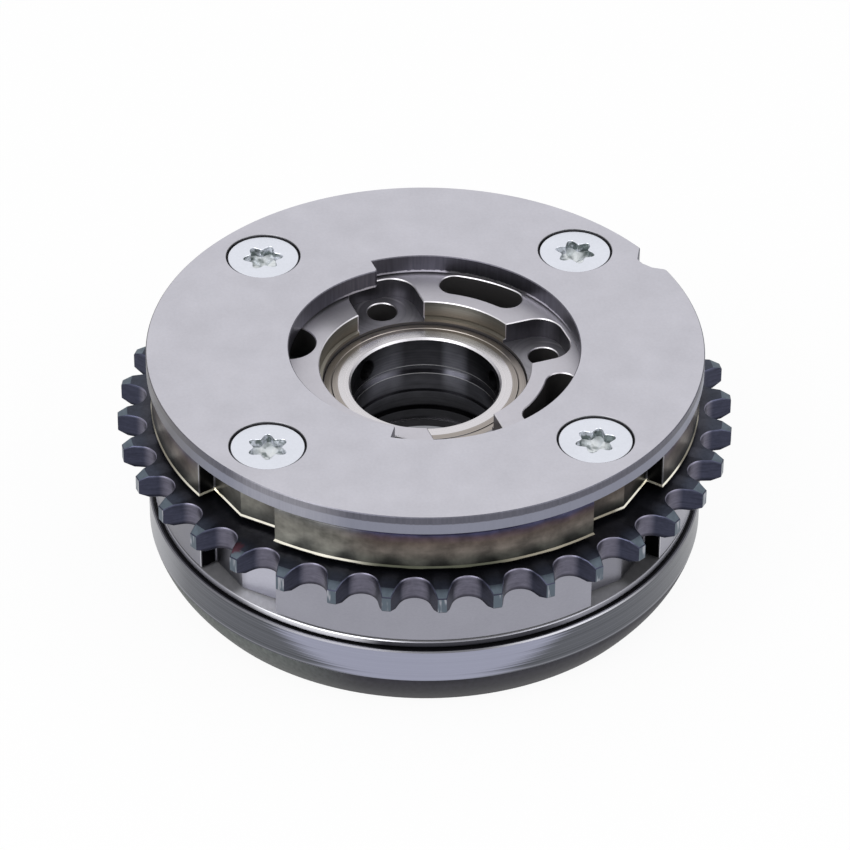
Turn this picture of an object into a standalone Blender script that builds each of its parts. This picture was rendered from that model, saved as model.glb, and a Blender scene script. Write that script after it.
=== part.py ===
"""Hydraulic vane-type cam phaser with a 36-tooth roller-chain sprocket.

The housing is a stack of three: a turned rear plate, a sintered stator whose rim carries the
sprocket, and a ground cover plate, held by four countersunk screws. Inside it turns a rotor with
four vanes, tip seals on leaf springs, a turned oil sleeve in its bore and a sprung lock pin.

The origin is the centre of the rear plate's outer face, +Z runs up the cam axis to the cover.
Angles are in degrees, counter-clockwise from +X seen from the cover side.
"""

import math

import bmesh
import bpy
from mathutils import Matrix, Vector

MM = 0.001

# Clearances between pieces that touch on the real phaser
GAP = 0.3 * MM
STOP_GAP_DEG = 0.7

# Oil sleeve in the rotor's bore; the sizes grow outwards from its bore
SLEEVE_BORE_RADIUS = 11.55 * MM
SLEEVE_WALL = 4.2 * MM
SLEEVE_RIM_WIDTH = 1.95 * MM
SLEEVE_TOP_DROP = 3.65 * MM
SLEEVE_SHOULDER_DROP = 0.3 * MM
SLEEVE_RIM_CHAMFER = 0.3 * MM
SLEEVE_SEAT_STEP = 0.45 * MM
SLEEVE_SEAT_DEPTH = 1.3 * MM
SLEEVE_GROOVE_DEPTH = 0.6 * MM
SLEEVE_GROOVE_WIDTH = 1.5 * MM
SLEEVE_LINE_GROOVE_OFFSET = 0.3 * MM
SLEEVE_LINE_GROOVE_WIDTH = 0.9 * MM
SLEEVE_LINE_GROOVE_DEPTH = 0.3 * MM
SLEEVE_OUTER_GROOVE_WIDTH = 3.0 * MM
SLEEVE_OUTER_GROOVE_DEPTH = 1.0 * MM
SLEEVE_PORT_RADIUS = 1.7 * MM
SLEEVE_PORT_DROP = 2.9 * MM
SLEEVE_PORT_COUNT = 3
SLEEVE_PORT_PHASE_DEG = 142.5

# Rotor
COUNTERBORE_STEP = 0.3 * MM
COUNTERBORE_DEPTH = 2.85 * MM
COUNTERBORE_CHAMFER = 0.3 * MM
ROTOR_EDGE_CHAMFER = 0.25 * MM
HUB_WALL = 2.6 * MM
VANE_COUNT = 4
VANE_LENGTH = 12.0 * MM
VANE_HALF_ANGLE = 6.0
VANE_TIP_CLEARANCE = 0.6 * MM
VANE_CORNER_RADIUS = 1.3 * MM
SWING_DEG = 30.0
PORT_RELIEF_HEIGHT = 4.0 * MM
PORT_RELIEF_ANGLE = 3.0

# Features on the rotor's face, set out from the counterbore
POCKET_ANGLES = (110.5, 20.5, -69.5)
POCKET_HALF_WIDTH = 5.4 * MM
POCKET_REACH = 6.85 * MM
POCKET_CORNER_RADIUS = 4.0 * MM
POCKET_DEPTH = 3.5 * MM
POCKET_HOLE_RADIUS = 2.35 * MM
POCKET_HOLE_INSET = 3.25 * MM
POCKET_HOLE_DEPTH = 12.0 * MM
KIDNEY_ANGLES = (65.7, -24.3, -114.3)
KIDNEY_HALF_SPAN_DEG = 18.45
KIDNEY_WALL = 2.65 * MM
KIDNEY_WIDTH = 4.9 * MM
KIDNEY_DEPTH = 14.0 * MM

# Oil galleries, drilled from the rotor's bore into the chambers
GALLERY_RADIUS = 1.1 * MM
ADVANCE_GALLERY_DROP = 5.9 * MM
RETARD_GALLERY_RISE = 3.8 * MM
GALLERY_OFFSET_DEG = 11.0
STOP_VANE_PORT_INSET_DEG = 1.2

# Vane tip seals and their leaf springs
SEAL_GROOVE_HALF_WIDTH = 1.3 * MM
SEAL_HEIGHT = 2.2 * MM
SEAL_TIP_CHAMFER = 0.25 * MM
LEAF_THICKNESS = 0.3 * MM
LEAF_ROOM = 1.6 * MM

# Lock pin, its spring, plug and bush
LOCK_ANGLE = 166.2
LOCK_CIRCLE_INSET = 5.45 * MM
LOCK_SPRING_RADIUS = 2.25 * MM
LOCK_SPRING_WIRE = 0.6 * MM
LOCK_SPRING_ROOM = 0.4 * MM
LOCK_SPRING_TURNS = 5.5
LOCK_PIN_WALL = 0.95 * MM
LOCK_PIN_SHOULDER = 1.0 * MM
LOCK_NOSE_LENGTH = 3.0 * MM
LOCK_FLOOR_THICKNESS = 2.2 * MM
LOCK_POCKET_DEPTH = 5.6 * MM
LOCK_STROKE = 2.8 * MM
LOCK_EDGE_CHAMFER = 0.35 * MM
PLUG_THICKNESS = 1.5 * MM
PLUG_VENT_RADIUS = 1.2 * MM
BUSH_WALL = 1.8 * MM
BUSH_HEIGHT = 3.7 * MM
UNLOCK_GROOVE_WIDTH = 2.0 * MM
UNLOCK_GROOVE_DEPTH = 0.9 * MM
UNLOCK_GROOVE_REACH = 0.5 * MM

# Stator drum, its outer contour and its chambers
STATOR_HEIGHT = 20.45 * MM
DRUM_WALL = 3.8 * MM
RECESS_STEP_DEPTH = 2.8 * MM
RECESS_RIDGE_DEPTH = 1.6 * MM
RECESS_HALF_ANGLE = 10.8
DRUM_LOWER_CHAMFER = 0.2 * MM
BAND_CHAMFER = 0.4 * MM
NECK_WIDTH = 0.8 * MM
NECK_DEPTH = 0.8 * MM
LOBE_HALF_ANGLE = 11.0
CHAMBER_CORNER_RADIUS = 1.0 * MM

# Sprocket on the stator: the fewest teeth of this pitch whose pitch circle clears the drum
CHAIN_PITCH = 8.0 * MM
ROLLER_SHARE_OF_PITCH = 0.625
ROLLER_SEAT_CLEARANCE = 0.05 * MM
SPROCKET_RIM = 3.4 * MM
SPROCKET_WIDTH = 4.0 * MM
TOOTH_ADDENDUM = 1.855 * MM
SPROCKET_TIP_WIDTH = 2.6 * MM
SPROCKET_CHAMFER_DEPTH = 1.5 * MM
SPROCKET_LOW_FACE_HEIGHT = 9.0 * MM
TOOTH_FLANK_ANGLE = 23.6
TOOTH_PHASE_DEG = -106.65

# Countersunk screws
SCREW_COUNT = 4
SCREW_CIRCLE_OFFSET = 0.23 * MM
SCREW_PHASE_DEG = 137.5
SCREW_HEAD_WIDTH = 2.6 * MM
SCREW_HEAD_RIM = 0.35 * MM
SCREW_HEAD_SINK = 0.5 * MM
SCREW_SHANK_RADIUS = 3.0 * MM
SCREW_TIP_INSET = 1.5 * MM
SCREW_TIP_CHAMFER = 0.35 * MM
SOCKET_WALL = 2.6 * MM
SOCKET_LOBE_HEIGHT = 0.85 * MM
SOCKET_DEPTH = 2.4 * MM

# Cover plate
COVER_THICKNESS = 3.2 * MM
COVER_OVERHANG = 0.67 * MM
COVER_EDGE_CHAMFER = 0.35 * MM
OPENING_HUB_OVERLAP = 2.65 * MM
SHIELD_REACH = 2.8 * MM
SHIELD_START_DEG = 110.9
SHIELD_END_DEG = 258.0
SHIELD_CORNER_RADIUS = 0.6 * MM
NOTCH_DEPTH = 2.25 * MM
NOTCH_LIP_DEPTH = 1.55 * MM
NOTCH_STEEP_DEG = 38.1
NOTCH_FLOOR_DEG = (34.9, 33.2)
NOTCH_RAMP_DEG = 30.8
NOTCH_END_DEG = 28.8

# Rear plate
REAR_THICKNESS = 13.1 * MM
REAR_OVERHANG = 0.85 * MM
REAR_TAPER_WIDTH = 3.4 * MM
REAR_TAPER_HEIGHT = 6.2 * MM
REAR_TAPER_BULGE = 0.45 * MM
REAR_EDGE_CHAMFER = 0.35 * MM
REAR_FLANGE_THICKNESS = 0.9 * MM
REAR_GROOVE_WIDTH = 0.45 * MM
REAR_GROOVE_DEPTH = 1.7 * MM
REAR_BORE_CLEARANCE = 2.1 * MM
REAR_INNER_LAND = 4.3 * MM
REAR_SCREW_LAND = 6.28 * MM
REAR_RELIEF_DEPTH = 0.8 * MM

# Facets of round forms
FINE_STEPS = 72
MEDIUM_STEPS = 40
SMALL_STEPS = 16
ARC_STEP_DEG = 5.0
SMOOTH_ANGLE_DEG = 30.0
MERGE_DISTANCE = 1e-6
THROUGH = 1.0 * MM

# Radii that follow, from the sleeve outwards
SLEEVE_SEAT_RADIUS = SLEEVE_BORE_RADIUS - SLEEVE_SEAT_STEP
SLEEVE_RIM_RADIUS = SLEEVE_BORE_RADIUS + SLEEVE_RIM_WIDTH
SLEEVE_OUTER_RADIUS = SLEEVE_BORE_RADIUS + SLEEVE_WALL
ROTOR_BORE_RADIUS = SLEEVE_OUTER_RADIUS + GAP
COUNTERBORE_RADIUS = ROTOR_BORE_RADIUS + COUNTERBORE_STEP
POCKET_END_RADIUS = COUNTERBORE_RADIUS + POCKET_REACH
POCKET_HOLE_CIRCLE = COUNTERBORE_RADIUS + POCKET_HOLE_INSET
LOCK_CIRCLE_RADIUS = COUNTERBORE_RADIUS + LOCK_CIRCLE_INSET
KIDNEY_INNER_RADIUS = COUNTERBORE_RADIUS + KIDNEY_WALL
KIDNEY_OUTER_RADIUS = KIDNEY_INNER_RADIUS + KIDNEY_WIDTH
HUB_RADIUS = KIDNEY_OUTER_RADIUS + HUB_WALL
OPENING_RADIUS = HUB_RADIUS - OPENING_HUB_OVERLAP
SHIELD_RADIUS = OPENING_RADIUS - SHIELD_REACH
PORT_RELIEF_RADIUS = HUB_RADIUS + PORT_RELIEF_HEIGHT
CHAMBER_RADIUS = HUB_RADIUS + VANE_LENGTH
VANE_TIP_RADIUS = CHAMBER_RADIUS - VANE_TIP_CLEARANCE
SEAL_TIP_RADIUS = CHAMBER_RADIUS - GAP
SEAL_BACK_RADIUS = SEAL_TIP_RADIUS - SEAL_HEIGHT
SEAL_FLOOR_RADIUS = SEAL_BACK_RADIUS - LEAF_ROOM
DRUM_RADIUS = CHAMBER_RADIUS + DRUM_WALL
RECESS_STEP_RADIUS = DRUM_RADIUS - RECESS_STEP_DEPTH
RECESS_RIDGE_RADIUS = DRUM_RADIUS - RECESS_RIDGE_DEPTH
COVER_RADIUS = DRUM_RADIUS + COVER_OVERHANG
REAR_RADIUS = DRUM_RADIUS + REAR_OVERHANG
REAR_FACE_RADIUS = REAR_RADIUS - REAR_TAPER_WIDTH
REAR_BORE_RADIUS = SLEEVE_SEAT_RADIUS + REAR_BORE_CLEARANCE
SCREW_CIRCLE_RADIUS = (HUB_RADIUS + GAP + DRUM_RADIUS) / 2 + SCREW_CIRCLE_OFFSET
SCREW_HEAD_RADIUS = SCREW_SHANK_RADIUS + SCREW_HEAD_WIDTH
SOCKET_RADIUS = SCREW_HEAD_RADIUS - SOCKET_WALL
REAR_RELIEF_INNER_RADIUS = REAR_BORE_RADIUS + REAR_INNER_LAND
REAR_RELIEF_OUTER_RADIUS = SCREW_CIRCLE_RADIUS - REAR_SCREW_LAND
TOOTH_COUNT = math.ceil(math.pi / math.asin(CHAIN_PITCH / 2 / (DRUM_RADIUS + SPROCKET_RIM)))
CHAIN_PITCH_RADIUS = CHAIN_PITCH / 2 / math.sin(math.pi / TOOTH_COUNT)
ROLLER_SEAT_RADIUS = CHAIN_PITCH * ROLLER_SHARE_OF_PITCH / 2 + ROLLER_SEAT_CLEARANCE
SPROCKET_TIP_RADIUS = CHAIN_PITCH_RADIUS + TOOTH_ADDENDUM
LOCK_POCKET_RADIUS = LOCK_SPRING_RADIUS + LOCK_SPRING_WIRE / 2 + LOCK_SPRING_ROOM
LOCK_PIN_RADIUS = LOCK_POCKET_RADIUS + LOCK_PIN_WALL
LOCK_BORE_RADIUS = LOCK_PIN_RADIUS + GAP
LOCK_NOSE_RADIUS = LOCK_PIN_RADIUS - LOCK_PIN_SHOULDER
BUSH_BORE_RADIUS = LOCK_NOSE_RADIUS + GAP
BUSH_OUTER_RADIUS = BUSH_BORE_RADIUS + BUSH_WALL

# Heights that follow from the stack
STATOR_BASE = REAR_THICKNESS + GAP
STATOR_TOP = STATOR_BASE + STATOR_HEIGHT
COVER_BASE = STATOR_TOP + GAP
COVER_TOP = COVER_BASE + COVER_THICKNESS
SPROCKET_BASE = STATOR_BASE + SPROCKET_LOW_FACE_HEIGHT
SPROCKET_TOP = SPROCKET_BASE + SPROCKET_WIDTH
BAND_BASE = SPROCKET_TOP + NECK_WIDTH
ROTOR_BASE = STATOR_BASE
ROTOR_TOP = STATOR_TOP
SLEEVE_TOP = ROTOR_TOP - SLEEVE_TOP_DROP
ADVANCE_GALLERY_HEIGHT = SLEEVE_TOP - ADVANCE_GALLERY_DROP
RETARD_GALLERY_HEIGHT = ROTOR_BASE + RETARD_GALLERY_RISE
SLEEVE_SEAT_TOP = ROTOR_BASE + SLEEVE_SEAT_DEPTH
SLEEVE_PORT_HEIGHT = SLEEVE_TOP - SLEEVE_PORT_DROP
SLEEVE_LINE_GROOVE_HEIGHT = ((ADVANCE_GALLERY_HEIGHT + RETARD_GALLERY_HEIGHT) / 2
                             - SLEEVE_LINE_GROOVE_OFFSET)
LOCK_POCKET_FLOOR = ROTOR_BASE + LOCK_NOSE_LENGTH + LOCK_FLOOR_THICKNESS
LOCK_PIN_TOP = LOCK_POCKET_FLOOR + LOCK_POCKET_DEPTH
PLUG_BASE = LOCK_PIN_TOP + LOCK_STROKE + GAP

# Angles that follow from the lobes: the stop vane rests against the lobe on its clockwise side
SCREW_ANGLES = [SCREW_PHASE_DEG + 360 / SCREW_COUNT * i for i in range(SCREW_COUNT)]
CHAMBER_SPAN = 360 / SCREW_COUNT - 2 * LOBE_HALF_ANGLE
STOP_VANE_HALF_ANGLE = (CHAMBER_SPAN - SWING_DEG - 2 * STOP_GAP_DEG) / 2
STOP_VANE_ANGLE = SCREW_PHASE_DEG + LOBE_HALF_ANGLE + STOP_GAP_DEG + STOP_VANE_HALF_ANGLE
VANE_ANGLES = [STOP_VANE_ANGLE + 360 / VANE_COUNT * i for i in range(VANE_COUNT)]


def polar(radius, degrees, height=0.0):
    """A point at a radius and an angle about the cam axis."""
    angle = math.radians(degrees)
    return Vector((radius * math.cos(angle), radius * math.sin(angle), height))


def arc(radius, start, end, step=ARC_STEP_DEG, centre=(0.0, 0.0)):
    """Points along an arc from start to end, both included, no further apart than step."""
    count = max(1, math.ceil(abs(end - start) / step))
    offset = Vector((centre[0], centre[1], 0.0))
    return [offset + polar(radius, start + (end - start) * i / count) for i in range(count + 1)]


def rounded(points, corners, radius, segments=4):
    """The closed outline with the corners at the given indices replaced by round fillets."""
    result = []
    for i, point in enumerate(points):
        if i not in corners:
            result.append(point)
            continue
        back = (points[i - 1] - point).normalized()
        ahead = (points[(i + 1) % len(points)] - point).normalized()
        half = back.angle(ahead) / 2
        reach = radius / math.tan(half)
        centre = point + (back + ahead).normalized() * radius / math.sin(half)
        first = point + back * reach - centre
        last = point + ahead * reach - centre
        turn = -first.xy.angle_signed(last.xy)
        for k in range(segments + 1):
            result.append(centre + Matrix.Rotation(turn * k / segments, 3, "Z") @ first)
    return result


def clear_scene():
    for obj in list(bpy.data.objects):
        bpy.data.objects.remove(obj, do_unlink=True)


def collection(name):
    made = bpy.data.collections.new(name)
    bpy.context.scene.collection.children.link(made)
    return made


def material(name, colour, roughness, metallic=1.0):
    """A plain Principled surface in the part's own colour."""
    made = bpy.data.materials.new(name)
    made.use_nodes = True
    shader = made.node_tree.nodes["Principled BSDF"]
    shader.inputs["Base Color"].default_value = (*colour, 1.0)
    shader.inputs["Roughness"].default_value = roughness
    shader.inputs["Metallic"].default_value = metallic
    made.diffuse_color = (*colour, 1.0)
    return made


def evaluated_mesh(obj):
    """The object's mesh with its modifiers applied, in its own space."""
    graph = bpy.context.evaluated_depsgraph_get()
    return bpy.data.meshes.new_from_object(obj.evaluated_get(graph))


def add_object(name, mesh, group, surface=None):
    obj = bpy.data.objects.new(name, mesh)
    group.objects.link(obj)
    if surface is not None:
        mesh.materials.clear()
        mesh.materials.append(surface)
    return obj


def as_mesh_object(source, name, group, surface=None):
    """Replace a curve or modified object with a welded mesh object of the given name."""
    source.name = name + "_source"
    bpy.context.view_layer.update()
    mesh = evaluated_mesh(source)
    weld = bmesh.new()
    weld.from_mesh(mesh)
    bmesh.ops.remove_doubles(weld, verts=weld.verts, dist=MERGE_DISTANCE)
    bmesh.ops.recalc_face_normals(weld, faces=weld.faces)
    weld.to_mesh(mesh)
    weld.free()
    obj = add_object(name, mesh, group, surface)
    obj.matrix_world = source.matrix_world.copy()
    bpy.data.objects.remove(source, do_unlink=True)
    return obj


def plate(name, outlines, low, high, group, surface=None, chamfer=0.0, holes=()):
    """A flat piece between two heights; holes indexes the inner outlines, chamfer breaks edges."""
    curve = bpy.data.curves.new(name + "_outline", "CURVE")
    curve.dimensions = "2D"
    curve.fill_mode = "BOTH"
    curve.extrude = (high - low) / 2 - chamfer
    curve.bevel_depth = chamfer
    curve.bevel_resolution = 0
    curve.offset = -chamfer
    for i, outline in enumerate(outlines):
        if i in holes:
            outline = outline[::-1]
        spline = curve.splines.new("POLY")
        spline.points.add(len(outline) - 1)
        for slot, point in zip(spline.points, outline):
            slot.co = (point[0], point[1], 0.0, 1.0)
        spline.use_cyclic_u = True
    source = bpy.data.objects.new(name + "_curve", curve)
    group.objects.link(source)
    source.location.z = (low + high) / 2
    return as_mesh_object(source, name, group, surface)


def turned(name, profile, group, surface=None, steps=FINE_STEPS):
    """A ring or solid of revolution about Z from a closed (radius, height) profile.

    The profile runs down the outer side and back up the inner one. A point on the axis closes
    the form there.
    """
    mesh = bpy.data.meshes.new(name + "_profile")
    points = [(radius, 0.0, height) for radius, height in profile]
    on_axis = profile[0][0] == 0.0 and profile[-1][0] == 0.0
    count = len(points)
    edges = [(i, i + 1) for i in range(count - 1)]
    if not on_axis:
        edges.append((count - 1, 0))
    mesh.from_pydata(points, edges, [])
    source = add_object(name + "_turning", mesh, group)
    screw = source.modifiers.new("Turn", "SCREW")
    screw.steps = steps
    screw.render_steps = steps
    screw.use_merge_vertices = True
    screw.merge_threshold = MERGE_DISTANCE
    return as_mesh_object(source, name, group, surface)


def cylinder(name, radius, low, high, group, steps=SMALL_STEPS):
    """A plain round bar about its own Z, used for holes."""
    mesh = bpy.data.meshes.new(name)
    shape = bmesh.new()
    place = Matrix.Translation((0.0, 0.0, (low + high) / 2))
    bmesh.ops.create_cone(
        shape, cap_ends=True, segments=steps, radius1=radius, radius2=radius,
        depth=high - low, matrix=place)
    shape.to_mesh(mesh)
    shape.free()
    return add_object(name, mesh, group)


def stand_at(obj, radius, degrees):
    """Move an upright piece onto a circle about the cam axis and turn it to face outwards."""
    obj.location += polar(radius, degrees)
    obj.rotation_euler.z = math.radians(degrees)


def hide_cutter(cutter):
    cutter.hide_render = True
    cutter.display_type = "WIRE"


def cut(target, cutter):
    """Take the cutter's shape out of the target with a live Boolean."""
    hide_cutter(cutter)
    boolean = target.modifiers.new("Cut " + cutter.name, "BOOLEAN")
    boolean.operation = "DIFFERENCE"
    boolean.solver = "EXACT"
    boolean.object = cutter


def fuse(target, addition):
    """Add the other shape to the target with a live Boolean."""
    hide_cutter(addition)
    boolean = target.modifiers.new("Join " + addition.name, "BOOLEAN")
    boolean.operation = "UNION"
    boolean.solver = "EXACT"
    boolean.object = addition


def smooth(obj):
    obj.data.shade_smooth()
    obj.data.set_sharp_from_angle(angle=math.radians(SMOOTH_ANGLE_DEG))


def finish(obj):
    """Bake the piece's Booleans into its mesh and shade its round faces smooth."""
    surface = obj.data.materials[0]
    smooth(as_mesh_object(obj, obj.name, obj.users_collection[0], surface))


def drum_outline(inset=0.0):
    """The stator's outer contour: a circle stepped in at each screw to a shallow ridge."""
    points = []
    widening = math.degrees(inset / RECESS_STEP_RADIUS)
    half = RECESS_HALF_ANGLE + widening
    radius = DRUM_RADIUS - inset
    for centre in SCREW_ANGLES:
        points.append(polar(RECESS_STEP_RADIUS - inset, centre - half))
        points.append(polar(RECESS_RIDGE_RADIUS - inset, centre))
        points.append(polar(RECESS_STEP_RADIUS - inset, centre + half))
        points += arc(radius, centre + half, centre + 360 / SCREW_COUNT - half)
    return points


def chamber_outline():
    """The stator's inner contour: four chambers between the lobes that hold the screws."""
    points = []
    corners = set()
    for centre in SCREW_ANGLES:
        points += arc(HUB_RADIUS + GAP, centre - LOBE_HALF_ANGLE, centre + LOBE_HALF_ANGLE)
        corners.add(len(points))
        points += arc(CHAMBER_RADIUS, centre + LOBE_HALF_ANGLE,
                      centre + LOBE_HALF_ANGLE + CHAMBER_SPAN)
        corners.add(len(points) - 1)
    return rounded(points, corners, CHAMBER_CORNER_RADIUS)


def gullet_outline(degrees):
    """One tooth gap: a roller seat arc with straight flanks that open past the tips."""
    centre = polar(CHAIN_PITCH_RADIUS, degrees)
    outward = polar(1.0, degrees)
    points = arc(ROLLER_SEAT_RADIUS, degrees - 90 - TOOTH_FLANK_ANGLE,
                 degrees - 270 + TOOTH_FLANK_ANGLE, 22.0, centre)
    for side, base in ((1, points[-1].copy()), (-1, points[0].copy())):
        lean = math.radians(TOOTH_FLANK_ANGLE) * side
        direction = Matrix.Rotation(lean, 3, "Z") @ outward
        points.append(base + direction * (SPROCKET_TIP_RADIUS - CHAIN_PITCH_RADIUS + 3 * THROUGH))
    return points


def vane_outline(centre, half):
    """One vane from hub to tip and back, with the seal groove open at its tip."""
    relief = half - PORT_RELIEF_ANGLE if half > 2 * VANE_HALF_ANGLE else half
    groove = math.degrees(math.asin(SEAL_GROOVE_HALF_WIDTH / VANE_TIP_RADIUS))
    floor = math.degrees(math.asin(SEAL_GROOVE_HALF_WIDTH / SEAL_FLOOR_RADIUS))
    points = []
    if relief < half:
        points += [polar(PORT_RELIEF_RADIUS, centre - relief)]
        points += [polar(PORT_RELIEF_RADIUS, centre - half)]
    corners = {len(points)}
    points += arc(VANE_TIP_RADIUS, centre - half, centre - groove)
    points += [polar(SEAL_FLOOR_RADIUS, centre - floor), polar(SEAL_FLOOR_RADIUS, centre + floor)]
    points += arc(VANE_TIP_RADIUS, centre + groove, centre + half)
    corners.add(len(points) - 1)
    if relief < half:
        points += [polar(PORT_RELIEF_RADIUS, centre + half)]
        points += [polar(PORT_RELIEF_RADIUS, centre + relief)]
    return points, corners, relief


def rotor_outline():
    """The rotor's contour: the hub with one wide stop vane and three narrow ones."""
    points = []
    corners = set()
    halves = [STOP_VANE_HALF_ANGLE] + [VANE_HALF_ANGLE] * (VANE_COUNT - 1)
    for i, (centre, half) in enumerate(zip(VANE_ANGLES, halves)):
        vane, vane_corners, relief = vane_outline(centre, half)
        following = (i + 1) % VANE_COUNT
        next_half = halves[following]
        if next_half > 2 * VANE_HALF_ANGLE:
            next_half -= PORT_RELIEF_ANGLE
        corners |= {len(points) + k for k in vane_corners}
        points += vane
        points += arc(HUB_RADIUS, centre + relief, centre + 360 / VANE_COUNT - next_half)
    return rounded(points, corners, VANE_CORNER_RADIUS, 3)


def kidney_outline(centre):
    """A curved slot with round ends about the cam axis."""
    end = KIDNEY_WIDTH / 2
    middle = KIDNEY_INNER_RADIUS + end
    reach = KIDNEY_HALF_SPAN_DEG - math.degrees(end / middle)
    points = arc(KIDNEY_OUTER_RADIUS, centre - reach, centre + reach)
    points += arc(end, centre + reach, centre + reach + 180, 30.0,
                  polar(middle, centre + reach))[1:]
    points += arc(KIDNEY_INNER_RADIUS, centre + reach, centre - reach)[1:]
    points += arc(end, centre - reach + 180, centre - reach + 360, 30.0,
                  polar(middle, centre - reach))[1:-1]
    return points


def pocket_outline(centre):
    """A milled pocket open to the counterbore, with parallel walls and a rounded end."""
    turn = Matrix.Rotation(math.radians(centre), 3, "Z")
    start = COUNTERBORE_RADIUS - 2 * THROUGH
    corners = [(start, -POCKET_HALF_WIDTH), (POCKET_END_RADIUS, -POCKET_HALF_WIDTH),
               (POCKET_END_RADIUS, POCKET_HALF_WIDTH), (start, POCKET_HALF_WIDTH)]
    points = [turn @ Vector((x, y, 0.0)) for x, y in corners]
    return rounded(points, {1, 2}, POCKET_CORNER_RADIUS, 6)


def cover_rim_outline():
    """The cover's rim with its timing notch: a steep side, a floor and a ramp out."""
    floor = COVER_RADIUS - NOTCH_DEPTH
    points = [polar(floor, NOTCH_FLOOR_DEG[1]), polar(floor, NOTCH_FLOOR_DEG[0])]
    points += arc(COVER_RADIUS, NOTCH_STEEP_DEG, NOTCH_END_DEG + 360)
    points.append(polar(COVER_RADIUS - NOTCH_LIP_DEPTH, NOTCH_RAMP_DEG))
    return points


def cover_opening_outline():
    """The cover's opening, narrower along the shield that reaches over the lock pin."""
    points = arc(SHIELD_RADIUS, SHIELD_START_DEG, SHIELD_END_DEG)
    shield_end = len(points) - 1
    points += arc(OPENING_RADIUS, SHIELD_END_DEG, SHIELD_START_DEG + 360)
    return rounded(points, {0, shield_end}, SHIELD_CORNER_RADIUS, 2)


def six_lobe_outline():
    """The hexalobular socket of a screw, a smooth six-fold wave."""
    swell = SOCKET_LOBE_HEIGHT / 2
    mean = SOCKET_RADIUS - swell
    points = []
    for step in range(24):
        degrees = step * 15.0
        points.append(polar(mean + swell * math.cos(math.radians(6 * degrees)), degrees))
    return points


def make_rear_plate(parts, cutters, surface):
    flange_base = REAR_THICKNESS - REAR_FLANGE_THICKNESS
    rim_top = flange_base - REAR_GROOVE_WIDTH
    groove_floor = DRUM_RADIUS - REAR_GROOVE_DEPTH
    profile = [(DRUM_RADIUS, REAR_THICKNESS), (DRUM_RADIUS, flange_base),
               (groove_floor, flange_base), (groove_floor, rim_top),
               (REAR_RADIUS - REAR_EDGE_CHAMFER, rim_top),
               (REAR_RADIUS, rim_top - REAR_EDGE_CHAMFER),
               (REAR_RADIUS, REAR_TAPER_HEIGHT)]
    taper_steps = 3
    for i in range(1, taper_steps + 1):
        share = i / taper_steps
        straight = REAR_RADIUS + (REAR_FACE_RADIUS - REAR_RADIUS) * share
        bulge = REAR_TAPER_BULGE * math.sin(math.pi * share)
        profile.append((straight + bulge, REAR_TAPER_HEIGHT * (1 - share)))
    profile += [(REAR_RELIEF_OUTER_RADIUS, 0.0),
                (REAR_RELIEF_OUTER_RADIUS - REAR_RELIEF_DEPTH, REAR_RELIEF_DEPTH),
                (REAR_RELIEF_INNER_RADIUS + REAR_RELIEF_DEPTH, REAR_RELIEF_DEPTH),
                (REAR_RELIEF_INNER_RADIUS, 0.0),
                (REAR_BORE_RADIUS + REAR_EDGE_CHAMFER, 0.0),
                (REAR_BORE_RADIUS, REAR_EDGE_CHAMFER),
                (REAR_BORE_RADIUS, REAR_THICKNESS - REAR_EDGE_CHAMFER),
                (REAR_BORE_RADIUS + REAR_EDGE_CHAMFER, REAR_THICKNESS)]
    rear = turned("rear_plate", profile, parts, surface)
    for i, degrees in enumerate(SCREW_ANGLES):
        hole = cylinder(f"rear_screw_hole_{i + 1}", SCREW_SHANK_RADIUS + GAP,
                        -THROUGH, REAR_THICKNESS + THROUGH, cutters)
        stand_at(hole, SCREW_CIRCLE_RADIUS, degrees)
        cut(rear, hole)
    seat = cylinder("bush_seat", BUSH_OUTER_RADIUS + GAP,
                    REAR_THICKNESS - BUSH_HEIGHT - GAP, REAR_THICKNESS + THROUGH, cutters)
    stand_at(seat, LOCK_CIRCLE_RADIUS, LOCK_ANGLE)
    cut(rear, seat)
    turn = Matrix.Rotation(math.radians(LOCK_ANGLE), 3, "Z")
    half = UNLOCK_GROOVE_WIDTH / 2
    reach = PORT_RELIEF_RADIUS + UNLOCK_GROOVE_REACH
    corners = [(LOCK_CIRCLE_RADIUS, -half), (reach, -half), (reach, half),
               (LOCK_CIRCLE_RADIUS, half)]
    outline = [turn @ Vector((x, y, 0.0)) for x, y in corners]
    groove = plate("unlock_groove", [outline], REAR_THICKNESS - UNLOCK_GROOVE_DEPTH,
                   REAR_THICKNESS + THROUGH, cutters)
    cut(rear, groove)
    finish(rear)


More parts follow.
